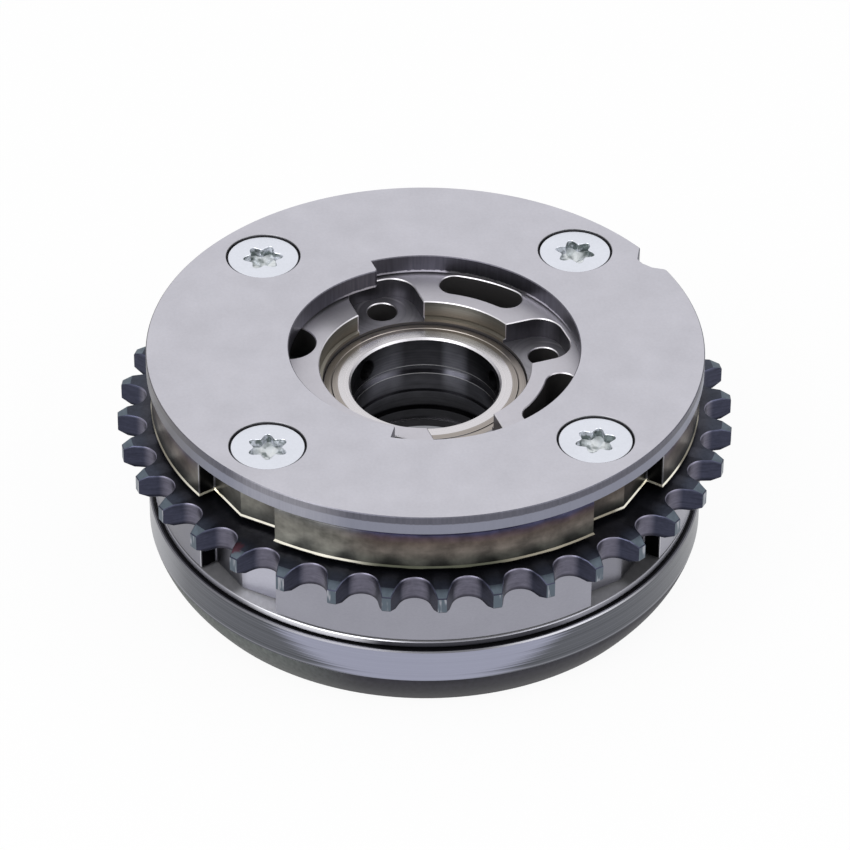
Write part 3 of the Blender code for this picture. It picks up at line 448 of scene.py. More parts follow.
class Finish(Nodes):
    """A material on the object's own coordinates."""

    def __init__(self, name, roughness, metallic=1.0):
        self.material = bpy.data.materials.new(name)
        self.material.use_nodes = True
        super().__init__(self.material.node_tree)
        self.shader = self.tree.nodes["Principled BSDF"]
        self.shader.inputs["Roughness"].default_value = roughness
        self.shader.inputs["Metallic"].default_value = metallic
        self.place = self.node("ShaderNodeTexCoord").output("Object")
        self.x = self.node("ShaderNodeSeparateXYZ", None, {0: self.place})
        self.y = self.x.output("Y")
        self.z = self.x.output("Z")
        self.radius = (self.x * self.x + self.y * self.y) ** 0.5

    def feed(self, name, value):
        self.tree.links.new(value.socket, self.shader.inputs[name])

    def step(self, value, low, high):
        """A soft step from 0 where the value is low to 1 where it is high."""
        settings = {"interpolation_type": "SMOOTHSTEP"}
        if low < high:
            return self.node("ShaderNodeMapRange", settings, {0: value, 1: low, 2: high})
        return 1.0 - self.node("ShaderNodeMapRange", settings, {0: value, 1: high, 2: low})

    def facing(self, degrees):
        """The cosine of the angle between a point's direction from the axis and a given one."""
        turn = math.radians(degrees)
        return (self.x * math.cos(turn) + self.y * math.sin(turn)) / self.radius

    def between(self, value, start, full, fading, end):
        """1 from full to fading, and 0 before the start and after the end."""
        return self.step(value, start, full) * self.step(value, end, fading)

    def around(self, degrees, inner, outer):
        """1 within an angle of a direction, 0 beyond a wider one."""
        near = math.cos(math.radians(inner))
        far = math.cos(math.radians(outer))
        return self.step(self.facing(degrees), far, near)

    def noise(self, scale, stretch=(1.0, 1.0, 1.0), detail=3.0, rough=0.5):
        """Noise from 0 to 1, with features about 1/scale metres wide, longer where stretched."""
        mapped = self.node("ShaderNodeVectorMath", {"operation": "MULTIPLY"},
                           {0: self.place, 1: [scale / s for s in stretch]})
        return self.node("ShaderNodeTexNoise", None,
                         {"Vector": mapped, "Scale": 1.0, "Detail": detail, "Roughness": rough})

    def lines(self, along, scale, detail=3.0, rough=0.5):
        """Noise from 0 to 1 that varies along one measure only, such as the radius."""
        return self.node("ShaderNodeTexNoise", {"noise_dimensions": "1D"},
                         {"W": along * scale, "Scale": 1.0, "Detail": detail, "Roughness": rough})

    def mix(self, factor, first, second):
        """A blend of two colours, each a tuple or a link."""
        full = [value if isinstance(value, Socket) else (*value, 1.0)
                for value in (first, second)]
        return self.node("ShaderNodeMix", {"data_type": "RGBA"},
                         {0: factor, 6: full[0], 7: full[1]})

    def shade(self, tone, factor):
        """A colour made darker or lighter by a number."""
        return self.node("ShaderNodeVectorMath", {"operation": "SCALE"},
                         {0: tone, "Scale": factor})

    def painted(self, tone, height=None, strength=0.0, distance=0.02 * MM):
        """The finished material in a base colour, with a bump where a height is given."""
        self.feed("Base Color", tone)
        if height is not None:
            self.feed("Normal", self.node(
                "ShaderNodeBump", None,
                {"Height": height, "Strength": strength, "Distance": distance}))
        return self.material

    def grained(self, tone, strength=0.0, mottle=0.06, grain=0.05, grain_scale=2500.0,
                mottle_scale=150.0, distance=0.02 * MM):
        """The finished material in a colour with soft mottling and fine, maybe raised, grain."""
        fine = self.noise(grain_scale)
        soft = self.noise(mottle_scale)
        light = 1.0 + (soft - 0.5) * (2 * mottle) + (fine - 0.5) * (2 * grain)
        return self.painted(self.shade(tone, light), fine if strength else None, strength,
                            distance)

    def faced(self, tone, scale, contrast, strength, detail=3.0):
        """The finished material of a faced end, with turning marks about the cam axis."""
        marks = self.lines(self.radius, scale, detail)
        return self.painted(self.shade(tone, 1.0 - contrast / 2 + marks * contrast), marks,
                            strength)


def group(name, sockets):
    """A new Geometry Nodes tree: its nodes and its input, with sockets by name and type."""
    tree = bpy.data.node_groups.new(name, "GeometryNodeTree")
    tree.interface.new_socket("Geometry", in_out="INPUT", socket_type="NodeSocketGeometry")
    for label, kind in sockets.items():
        tree.interface.new_socket(label, in_out="INPUT", socket_type=kind)
    tree.interface.new_socket("Geometry", in_out="OUTPUT", socket_type="NodeSocketGeometry")
    nodes = Nodes(tree)
    return nodes, nodes.node("NodeGroupInput")


def put_on_points(nodes, points, copy, surfaces, turn=None, merge=0.0):
    """Close a tree with a copy on each point, turned where asked, and return the tree.

    The copies are realized and welded, and each zone gets its material.
    """
    links = {"Points": points, "Instance": copy}
    if turn is not None:
        about_axis = nodes.node("ShaderNodeCombineXYZ", None, {"Z": turn})
        links["Rotation"] = nodes.node("FunctionNodeEulerToRotation", None, {0: about_axis})
    geometry = nodes.node("GeometryNodeInstanceOnPoints", None, links)
    geometry = nodes.node("GeometryNodeRealizeInstances", None, {0: geometry})
    if merge:
        geometry = nodes.node("GeometryNodeMergeByDistance", None,
                              {"Geometry": geometry, "Distance": merge})
    zone = nodes.node("GeometryNodeInputNamedAttribute", {"data_type": "INT"}, {"Name": "zone"})
    for i, surface in enumerate(surfaces):
        chosen = nodes.node("FunctionNodeCompare", {"data_type": "INT", "operation": "EQUAL"},
                            {"A": zone, "B": i})
        geometry = nodes.node("GeometryNodeSetMaterial", None,
                              {"Geometry": geometry, "Selection": chosen, "Material": surface})
    nodes.node("NodeGroupOutput", None, {0: geometry})
    return nodes.tree


def grown(name, mesh, tree, values):
    """The mesh that a Geometry Nodes tree makes from another, with its named inputs set."""
    source = new_object(name + "_seed", mesh)
    modifier = source.modifiers.new(name, "NODES")
    modifier.node_group = tree
    for item in tree.interface.items_tree:
        if item.in_out == "INPUT" and item.name in values:
            modifier[item.identifier] = values[item.name]
    made = evaluated(source)
    source.modifiers.clear()
    bpy.data.objects.remove(source)
    if "zone" in made.attributes:
        made.attributes.remove(made.attributes["zone"])
    return made


def bright_edge():
    """A freshly broken edge, near white, its lightness also a painted highlight along chamfers."""
    return Finish("bright_edge", roughness=0.34).grained(
        display(205, 203, 208), mottle=0.08, grain=0.08)


def cover_rim(looks):
    """The cover's punched rim: dark streaked shear above, smoother and lighter below."""
    made = Finish("cover_rim", roughness=0.42)
    split = COVER_TOP - looks.shear_height
    streaks = made.noise(2600.0, (1.0, 1.0, 12.0))
    lower = made.shade(looks.rim_low_colour, 0.94 + streaks * 0.12)
    upper = made.shade(looks.rim_high_colour, 0.7 + streaks * 0.6)
    edge = made.z + (streaks - 0.5) * (0.3 * MM)
    tone = made.mix(made.step(edge, split - 0.1 * MM, split + 0.1 * MM), lower, upper)
    # Painted shade: the rim's left side darkened.
    tone = made.mix(made.around(-180.0, 22.0, 46.0) * 0.8, tone, looks.rim_left_shade_colour)
    # Painted highlight: the face's colour laid over the rim at the front left.
    rim_highlight = made.around(-119.0, 1.0, 15.0) * (0.2 + streaks * 0.25)
    return made.painted(made.mix(rim_highlight, tone, looks.face_colour), streaks,
                        strength=0.4, distance=0.03 * MM)


def opening_wall(looks):
    """The wall of the opening, with a painted highlight along the torn edge at its foot."""
    made = Finish("opening_wall", roughness=0.4)
    streaks = made.noise(2600.0, (1.0, 1.0, 14.0))
    wall = made.shade(looks.opening_colour, 0.65 + streaks * 0.7)
    ragged = made.noise(1500.0, (1.0, 1.0, 3.0), 2.0)
    foot = COVER_BASE + 0.25 * MM + ragged * (0.45 * MM)
    # Painted highlight along the torn edge at the wall's foot, on the far side.
    torn = made.step(made.z - foot, 0.04 * MM, -0.04 * MM) * made.around(75.0, 45.0, 60.0)
    return made.painted(made.mix(torn, wall, looks.torn_edge_highlight_colour), streaks,
                        strength=0.4, distance=0.03 * MM)


def step_shadow_and_highlights(made, looks, tone):
    """Painted shadow on step faces between painted corner highlights, at front recesses' far ends.
    """
    half = math.degrees(looks.recess_angle)
    between = made.between(made.radius, looks.step_radius + 0.1 * MM,
                           looks.step_radius + 0.3 * MM, looks.drum_radius - 0.25 * MM,
                           looks.drum_radius - 0.05 * MM)
    for degrees in (SCREW_PHASE + 90 - half, SCREW_PHASE + 180 + half):
        at_step = made.around(degrees, 0.2, 0.4)
        # Painted highlight at the step's corner.
        tone = made.mix(at_step * 0.85, tone, looks.corner_highlight_colour)
        # Painted shadow on the step face.
        tone = made.mix(at_step * between, tone, looks.neck_shadow_colour)
    return tone


def tempered_band(looks):
    """The stator's upper band: temper colours, olive through brown to violet, partly painted
    reflection.
    """
    made = Finish("tempered_band", roughness=0.34, metallic=0.85)
    cloud = made.noise(170.0, (1.0, 1.0, 0.8), 4.0)
    patch = made.noise(300.0, (1.0, 1.0, 0.7), rough=0.6)
    streaks = made.noise(1500.0, (1.0, 1.0, 8.0))
    part = (made.z - looks.band_base) / (STATOR_TOP - looks.band_base)
    tone = made.node("ShaderNodeValToRGB", {"stops": BAND_TEMPER_AND_REFLECTION},
                     {0: part + (cloud - 0.5) * 0.24 - 0.03})
    # Painted light: the band's left side made paler.
    tone = made.mix(made.around(-124.0, 9.0, 25.0) * 0.75, tone, looks.band_left_light_colour)
    tone = step_shadow_and_highlights(made, looks, tone)
    tone = made.shade(tone, cloud * 0.35 + patch * 1.3 + streaks * 0.2 - 0.25)
    return made.painted(tone, streaks, strength=0.3)


def band_lip(looks):
    """The burr along the band's foot, a painted highlight: bright to both sides, olive in front.
    """
    made = Finish("band_lip", roughness=0.24)
    ragged = made.noise(500.0, detail=2.0)
    # Painted highlight at the front left and front right, dimmer at the far sides.
    bright = made.around(-125.0, 12.0, 32.0) + made.around(-34.0, 8.0, 11.5)
    tone = made.mix(bright, looks.lip_side_colour, looks.lip_highlight_colour)
    tone = made.mix(made.around(-88.0, 9.0, 19.0), tone, looks.lip_front_shade_colour)
    return made.painted(made.shade(tone, 0.8 + ragged * 0.4))


def recess_painted_light(made, looks):
    """Painted light: 1 on the plain drum, less in the recesses, most so on their far halves."""
    facing = made.facing(-87.5)
    near = made.step(facing * facing, 0.47, 0.53)
    inside = made.step(made.radius, looks.drum_radius - 0.05 * MM, looks.drum_radius - 0.3 * MM)
    left = made.around(-132.5, 11.0, 16.0)
    right = made.around(-42.5, 11.0, 16.0)
    level = 0.28 + left * 0.3 + near * (0.72 + left * 0.24 - right * 0.24)
    return 1.0 - inside * (1.0 - level)


def drum_wall(looks):
    """The satin wall under the sprocket, with painted shade where it turns away to the left."""
    made = Finish("drum_wall", roughness=0.36)
    fine = made.noise(2200.0, (1.0, 1.0, 0.4))
    soft = made.noise(150.0)
    # Painted shade on the left side.
    left_shade = made.around(-172.0, 14.0, 40.0)
    tone = made.shade(looks.wall_colour, (0.84 + soft * 0.16 + fine * 0.16)
                      * recess_painted_light(made, looks) * (1.0 - left_shade * 0.42))
    return made.painted(step_shadow_and_highlights(made, looks, tone), fine, strength=0.3)


def dabbed(made, looks, tone):
    """A colour with the dull red inspection mark that lies across one tooth."""
    offset = made.node("ShaderNodeVectorMath", {"operation": "DISTANCE"},
                       {0: made.place, 1: PAINT_DAB_PLACE})
    ragged = made.noise(1400.0) * (1.1 * MM)
    return made.mix(made.step(offset + ragged, 2.1 * MM, 1.6 * MM), tone, looks.dab_colour)


def sprocket_face(looks):
    """The sprocket's flat faces: steam-blued, dark."""
    made = Finish("sprocket_face", roughness=0.4)
    fine = made.noise(1800.0, detail=4.0)
    cloud = made.noise(240.0)
    near_neck = made.step(made.radius, 44.8 * MM, 43.0 * MM)
    tone = made.mix(near_neck, looks.face_colour, looks.root_colour)
    tone = made.shade(tone, 0.1 + cloud * 1.2 + fine * 0.6)
    return made.painted(dabbed(made, looks, tone), fine, strength=0.35, distance=0.03 * MM)


def sprocket_seat(looks):
    """The roller seats with level cutter lines, and the darker tooth flanks."""
    made = Finish("sprocket_seat", roughness=0.36)
    lines = made.noise(900.0, (2.0, 2.0, 0.28), 2.0)
    grain = made.noise(1900.0)
    cloud = made.noise(260.0, detail=2.0)
    flank = made.step(made.radius, 43.7 * MM, 44.9 * MM)
    tone = made.mix(flank, looks.seat_colour, looks.flank_colour)
    top = looks.base + looks.width
    # Painted shade along the seat's foot and a painted highlight along its top.
    foot = made.step(made.z, looks.base + 0.3 * MM, looks.base + 0.8 * MM)
    crown_highlight = made.step(made.z, top - 0.45 * MM, top - 0.15 * MM)
    light = (0.4 + foot * 0.5 + crown_highlight * 0.5) * (0.25 + lines * 0.8 + grain * 0.35 + cloud * 0.3)
    return made.painted(dabbed(made, looks, made.shade(tone, light)), lines,
                        strength=0.5, distance=0.03 * MM)


def sprocket_land(looks):
    """The chamfers across the tooth crests, teal grey."""
    made = Finish("sprocket_land", roughness=0.36)
    tone = made.shade(looks.land_colour, 0.6 + made.noise(900.0) * 0.8)
    return made.painted(dabbed(made, looks, tone))


def blotched(made, first, second, scale, edges, stretch=(1.0, 1.0, 1.0)):
    """A finish in patches of two colours, which meet where the noise is between the edges."""
    patches = made.step(made.noise(scale, stretch, 2.0), *edges)
    return made.painted(made.mix(patches, first, second))


def turned_wall(looks):
    """The rear plate's turned side: painted light in front, dark and finely striped beside it."""
    made = Finish("turned_wall", roughness=0.3)
    stripes = made.lines(made.z, 2300.0, 4.0, 0.7)
    wide = (made.z - looks.taper_height) / (REAR_TOP - looks.taper_height)
    spread = made.facing(-91.0) + wide * 0.13 + (stripes - 0.5) * 0.12
    # Painted light on the front.
    front_light = made.step(spread, 0.93, 1.0)
    tone = made.mix(front_light, made.shade(looks.side_colour, 0.3 + stripes * 1.4),
                    made.shade(looks.side_lit_colour, 0.9 + stripes * 0.2))
    # Painted light at the far left.
    tone = made.mix(made.around(-168.0, 4.0, 22.0) * 0.6, tone, looks.side_far_light_colour)
    # Painted highlight: a light line near the taper where the front is not lit.
    level = looks.taper_height + 0.35 * MM
    line = made.between(made.z, level - 0.1 * MM, level, level + 0.06 * MM, level + 0.16 * MM)
    tone = made.mix(line * (1.0 - front_light) * 0.7, tone, looks.edge_colour)
    return made.painted(tone, stripes, strength=0.5)


def turned_edge(name, tone, *patches):
    """Fine turned chamfers: a colour, with painted light and shade laid over it around given
    directions.

    Each patch has its direction, its inner and outer half angles and its colour.
    """
    made = Finish(name, roughness=0.3)
    for degrees, inner, outer, patch_colour in patches:
        tone = made.mix(made.around(degrees, inner, outer), tone, patch_colour)
    return made.painted(tone)


def flange_ledge(looks, stator):
    """The flange's top in the drum's recesses, painted pale against the sprocket's shadow."""
    made = Finish("flange_ledge", roughness=0.4, metallic=0.1)
    weave = made.noise(1700.0, (1.0, 2.5, 1.0))
    light = (0.8 + weave * 0.4) * recess_painted_light(made, stator)
    return made.painted(made.shade(looks.ledge_lit_colour, light))


def rear_taper(looks):
    """The rear plate's tapered edge: a dull dark finish, partly painted shade."""
    made = Finish("rear_taper", roughness=0.5, metallic=0.0)
    made.shader.inputs["Specular IOR Level"].default_value = 0.2
    weave = made.noise(1500.0, (1.0, 1.0, 1.6), 4.0)
    # Painted light at the left.
    left_light = made.around(-150.0, 20.0, 50.0)
    tone = made.mix(left_light, looks.taper_colour, looks.taper_left_light_colour)
    # Painted shade: darker towards the bottom.
    upper = made.z / looks.taper_height
    tone = made.shade(tone, (0.4 + weave * 1.2) * (0.6 + upper * 0.8))
    return made.painted(tone, weave, strength=0.4, distance=0.03 * MM)


def rotor_face(looks):
    """The rotor's ground face, a shade darker than the cover's, with painted shadow at the back.
    """
    made = Finish("rotor_face", roughness=0.48)
    # Painted shadow of the cover towards the back.
    tone = made.shade(looks.face_colour, 1.06 - made.around(125.0, 9.0, 31.0) * 0.52)
    return made.grained(tone, strength=0.25, grain_scale=2200.0, mottle_scale=260.0)


def pocket_wall(looks):
    """The milled pocket and kidney walls, with a soft painted highlight to the right in two
    pockets.
    """
    made = Finish("pocket_wall", roughness=0.42)
    streaks = made.noise(2000.0, (1.0, 1.0, 8.0))
    # Painted highlight to the right in two pockets.
    pocket_highlight = made.around(97.5, 3.0, 9.0) * 0.9 + made.around(8.0, 3.0, 10.0) * 1.8
    return made.painted(made.shade(looks.wall_colour, (0.7 + streaks * 0.6) * (1.0 + pocket_highlight)))


def pocket_floor(looks):
    """The milled pocket floors, with cutter arcs round each hole."""
    made = Finish("pocket_floor", roughness=0.4)
    nearest = None
    for degrees in POCKET_ANGLES:
        hole = polar(looks.hole_circle, degrees, ROTOR_TOP - looks.pocket_depth)
        away = made.node("ShaderNodeVectorMath", {"operation": "DISTANCE"},
                         {0: made.place, 1: hole})
        nearest = away if nearest is None else made.math("MINIMUM", away, nearest)
    arcs = made.lines(nearest, 1500.0)
    line = made.between(nearest, 3.55 * MM, 3.75 * MM, 3.9 * MM, 4.1 * MM)
    line = line * made.step(made.radius, looks.hole_circle, looks.hole_circle + 2.5 * MM)
    tone = made.shade(looks.floor_colour, 0.65 + arcs * 0.6)
    tone = made.mix(line * 0.6, tone, looks.arc_colour)
    return made.painted(tone, arcs, strength=0.4, distance=0.03 * MM)


def counterbore_wall(looks):
    """The counterbore, with a brown and olive temper tint and painted highlights at the pocket
    corners.
    """
    made = Finish("counterbore_wall", roughness=0.32)
    tint = made.step(made.z, ROTOR_TOP - 2.8 * MM, ROTOR_TOP - 0.3 * MM)
    tone = made.mix(tint, looks.counterbore_low_colour, looks.counterbore_high_colour)
    tone = made.shade(tone, 0.8 + made.lines(made.z, 3000.0) * 0.4)
    mouth = math.degrees(math.asin(looks.pocket_half_width / looks.counterbore_radius))
    for degrees in POCKET_ANGLES:
        # Painted highlight: a light line at each corner where a pocket opens.
        tone = made.mix(made.around(degrees, mouth + 0.4, mouth + 0.9), tone, looks.face_colour)
    return made.painted(tone)


def sleeve_bore(looks):
    """The sleeve's bore: dark, painted shade low down, painted highlights along its groove's
    edges.
    """
    made = Finish("sleeve_bore", roughness=0.3)
    lines = made.lines(made.z, 2600.0)
    blotch = made.noise(420.0, (1.0, 1.0, 0.5))
    # Painted shade, darker low down.
    level = 0.35 + made.step(made.z, 16.5 * MM, 23.0 * MM) * 0.85
    # Painted highlight streaks.
    bore_highlight_streak = made.around(66.0, 0.5, 13.0) * 1.5 + made.around(125.0, 4.0, 20.0) * 1.3
    bore_highlight_streak = bore_highlight_streak * made.step(made.z, 18.5 * MM, 25.2 * MM)
    tone = made.shade(looks.bore_colour, (0.35 + lines * 0.6 + blotch * 0.7) * level
                      * (1.0 + bore_highlight_streak * 1.8))
    in_wall = made.step(made.radius, looks.bore_radius + 0.1 * MM, looks.bore_radius)
    # Painted highlight lines along the groove's edges.
    for height in (UPPER_GALLERY - looks.groove_width / 2, UPPER_GALLERY + looks.groove_width / 2):
        offset = made.math("ABSOLUTE", made.z - height)
        line = made.step(offset, 0.14 * MM, 0.07 * MM) * in_wall
        tone = made.mix(line * (0.5 + blotch), tone, looks.line_highlight_colour)
    return made.painted(tone)


class StatorLooks(PropertyGroup):
    drum_radius: length("Drum Radius", "Outer radius of the drum", 42.3)
    step_radius: length("Recess Radius", "Radius at the steps of the recesses", 39.5)
    ridge_radius: length("Ridge Radius", "Radius in the middle of each recess", 40.7)
    recess_angle: angle("Recess Angle", "Half the angle of each recess", 10.8)
    lower_chamfer: length("Lower Chamfer", "Chamfer at the drum's foot", 0.2)
    lip_width: length("Lip Width", "How far the burr at the band's foot stands out", 0.16)
    lip_height: length("Lip Height", "Height of the burr's sloping top", 0.28)
    band_base: length("Band Base", "Height at which the upper band starts", 27.2)
    band_chamfer: length("Band Chamfer", "Chamfers of the upper band", 0.4)
    neck_depth: length("Neck Depth", "Depth of the neck above the sprocket", 0.8)
    # Painted light on the band's left side
    band_left_light_colour: colour("Band Side", "The band's paler left side", 150, 150, 142)
    # Painted highlight along the burr, dimmer at the far sides and dull in front
    lip_highlight_colour: colour("Lip", "The burr at the band's foot", 240, 236, 222)
    lip_side_colour: colour("Lip Side", "The burr at the far sides", 132, 127, 114)
    lip_front_shade_colour: colour("Lip Front", "The burr where it is dull", 84, 86, 74)
    # Painted shadow: the neck coloured near black
    neck_shadow_colour: colour("Neck", "The turned neck", 24, 25, 28)
    wall_colour: colour("Wall", "The wall under the sprocket", 150, 150, 160)
    # Painted highlight at the recesses' corners
    corner_highlight_colour: colour("Corner", "Light corners of the recesses", 196, 196, 202)


class SprocketLooks(PropertyGroup):
    teeth: IntProperty(name="Teeth", description="Number of teeth", default=36, min=12)
    pitch: length("Chain Pitch", "Pitch of the roller chain", 8.0)
    seat_radius: length("Seat Radius", "Radius of a roller seat", 2.55)
    tip_radius: length("Tip Radius", "Radius over the tooth tips", 47.62)
    tip_width: length("Tip Width", "Width of a tooth at its tip", 2.6)
    chamfer_depth: length("Chamfer Depth", "Radial depth of the tooth chamfers", 1.5)
    width: length("Width", "Width of the sprocket", 4.0)
    base: length("Base", "Height of the sprocket's lower face", 22.4)
    inner_radius: length("Inner Radius", "Radius at which the ring joins the drum", 38.6)
    flank_angle: angle("Flank Angle", "Lean of the tooth flanks", 23.6)
    phase: angle("Phase", "Direction of the first tooth", -106.65)
    edge_break: length("Edge Break", "Small chamfer along the tooth edges", 0.12)
    face_colour: colour("Face", "The flat faces", 58, 62, 74)
    root_colour: colour("Root", "The faces beside the drum", 62, 63, 72)
    seat_colour: colour("Seat", "Roller seats", 104, 102, 116)
    flank_colour: colour("Flank", "Tooth flanks", 62, 64, 80)
    land_colour: colour("Land", "Tooth chamfers", 92, 102, 112)
    tip_colour: colour("Tip", "Rubbed streaks on the tips", 158, 160, 168)
    dab_colour: colour("Dab", "The inspection mark on one tooth", 88, 58, 68)


class CoverLooks(PropertyGroup):
    radius: length("Radius", "Outer radius of the cover", 42.97)
    edge_chamfer: length("Edge Chamfer", "Chamfer along the rim and the opening", 0.14)
    opening_radius: length("Opening", "Radius of the opening", 23.85)
    shield_radius: length("Shield Radius", "Radius of the shield over the lock pin", 21.05)
    shield_start: angle("Shield Start", "Where the shield starts", 110.9)
    shield_end: angle("Shield End", "Where the shield ends", 258.0)
    shield_corner: length("Shield Corner", "Corner radius of the shield", 0.6)
    notch_depth: length("Notch Depth", "Depth of the timing notch", 2.25)
    notch_lip: length("Notch Lip", "Depth halfway up the notch's ramp", 1.55)
    notch_corner: length("Notch Corner", "Corner radius of the notch", 0.75)
    sink_radius: length("Countersink", "Radius of a countersink", 5.88)
    sink_break: length("Countersink Break", "Small chamfer round a countersink", 0.06)
    sink_cone_top: length("Cone Top", "Height at which a countersink's cone starts", 36.5)
    sink_foot_radius: length("Cone Foot", "Radius of a countersink at the underside", 3.55)
    shear_height: length("Shear Height", "Height of the streaked stretch of the rim", 1.3)
    face_colour: colour("Face", "The ground face", 195, 194, 202)
    rim_high_colour: colour("Rim Top", "The streaked stretch of the rim", 96, 96, 106)
    rim_low_colour: colour("Rim Foot", "The smooth stretch of the rim", 134, 136, 150)
    # Painted shade on the rim's left side
    rim_left_shade_colour: colour("Rim Side", "The rim's dull left side", 106, 104, 106)
    opening_colour: colour("Opening Wall", "The wall of the opening", 98, 97, 106)
    # Painted highlight along the torn edge
    torn_edge_highlight_colour: colour("Torn Edge", "The torn edge at the opening's foot", 214, 212, 220)
    countersink_colour: colour("Countersink", "The countersinks' cones", 150, 150, 154)


class ScrewLooks(PropertyGroup):
    head_radius: length("Head Radius", "Radius of a screw head", 5.65)
    head_break: length("Head Break", "Chamfer of the head's edge", 0.14)
    head_rise: length("Head Rise", "How far the head stands above the plain solid's", 0.2)
    cone_top: length("Cone Top", "Height at which the head's cone starts", 36.5)
    cone_foot: length("Cone Foot", "Height at which the head's cone ends", 33.9)
    tip_chamfer: length("Tip Chamfer", "Chamfer at the screw's tip", 0.35)
    socket_radius: length("Socket Radius", "Radius of the socket's lobes", 3.15)
    lobe_height: length("Lobe Height", "Height of the socket's lobes", 1.0)
    socket_depth: length("Socket Depth", "Depth of the socket", 1.5)
    socket_break: length("Socket Break", "Small chamfer round the socket", 0.05)
    head_colour: colour("Head", "The zinc plated heads", 221, 224, 233)
    edge_colour: colour("Head Edge", "The rounded edge of a head", 112, 112, 118)
    # Painted highlights and shade of the sockets' facets
    socket_highlight_colour: colour("Socket", "The sockets' bright facets", 226, 230, 232)
    socket_shade_colour: colour("Socket Dark", "The sockets' dark facets", 112, 121, 121)


class RearLooks(PropertyGroup):
    radius: length("Radius", "Outer radius of the rear plate", 43.15)
    face_radius: length("Face Radius", "Outer radius of the rear face", 39.75)
    taper_height: length("Taper Height", "Height of the tapered edge", 6.2)
    taper_bulge: length("Taper Bulge", "How far the taper swells", 0.45)
    chamfer: length("Chamfer", "Chamfers of the rear plate", 0.2)
    flange_radius: length("Flange Radius", "Radius of the flange under the drum", 42.3)
    flange_thickness: length("Flange Thickness", "Thickness of the flange", 0.9)
    rim_land: length("Rim Land", "Bright land inside the rim's chamfer", 0.24)
    flange_break: length("Flange Break", "Small chamfer of the flange and the taper", 0.12)
    ledge_radius: length("Ledge Radius", "Radius at which the flange's top starts", 39.0)
    groove_width: length("Turned Groove Width", "Width of the groove under the flange", 0.36)
    groove_depth: length("Turned Groove Depth", "Depth of the groove under the flange", 1.7)
    bore_radius: length("Bore Radius", "Radius of the rear bore", 13.2)
    relief_inner: length("Relief Inner", "Inner radius of the relief", 17.5)
    relief_outer: length("Relief Outer", "Outer radius of the relief", 28.5)
    relief_depth: length("Relief Depth", "Depth of the relief", 0.8)
    seat_radius: length("Bush Seat", "Radius of the lock bush's seat", 5.3)
    seat_floor: length("Bush Seat Floor", "Height of the seat's floor", 9.1)
    slot_width: length("Slot Width", "Width of the unlocking slot", 2.0)
    slot_depth: length("Slot Depth", "Depth of the unlocking slot", 0.9)
    slot_end: length("Slot End", "Radius at which the slot ends", 31.0)
    side_colour: colour("Side", "The turned side", 92, 94, 100)
    # Painted light on the turned side, in front and at the far left
    side_lit_colour: colour("Side Front", "The turned side where it is brighter", 152, 154, 172)
    side_far_light_colour: colour("Side Far", "The turned side at the far left", 150, 151, 158)
    edge_colour: colour("Edges", "The fine chamfers", 142, 142, 150)
    # Painted highlights on the chamfers at the front left and front right
    edge_lit_colour: colour("Edges Lit", "The chamfers at the front left", 222, 222, 228)
    rim_colour: colour("Rim", "The rim's chamfer", 112, 112, 118)
    rim_lit_colour: colour("Rim Lit", "The rim's chamfer at the front right", 160, 160, 166)
    # Painted shade on the flange's edge in front
    flange_front_shade_colour: colour("Flange", "The flange's edge in front", 62, 62, 68)
    # Painted light: the ledge made pale where the sprocket shades it
    ledge_lit_colour: colour("Ledge", "The flange's top in the recesses", 164, 164, 168)
    # Painted shadow in the groove under the flange
    groove_shadow_colour: colour("Groove", "The groove under the flange", 40, 40, 44)
    # Dark, partly painted shade
    taper_colour: colour("Taper", "The tapered edge", 34, 33, 40)
    # Painted light at the left
    taper_left_light_colour: colour("Taper Side", "The tapered edge at the left", 78, 82, 80)
    face_colour: colour("Face", "The faced ends", 150, 151, 156)


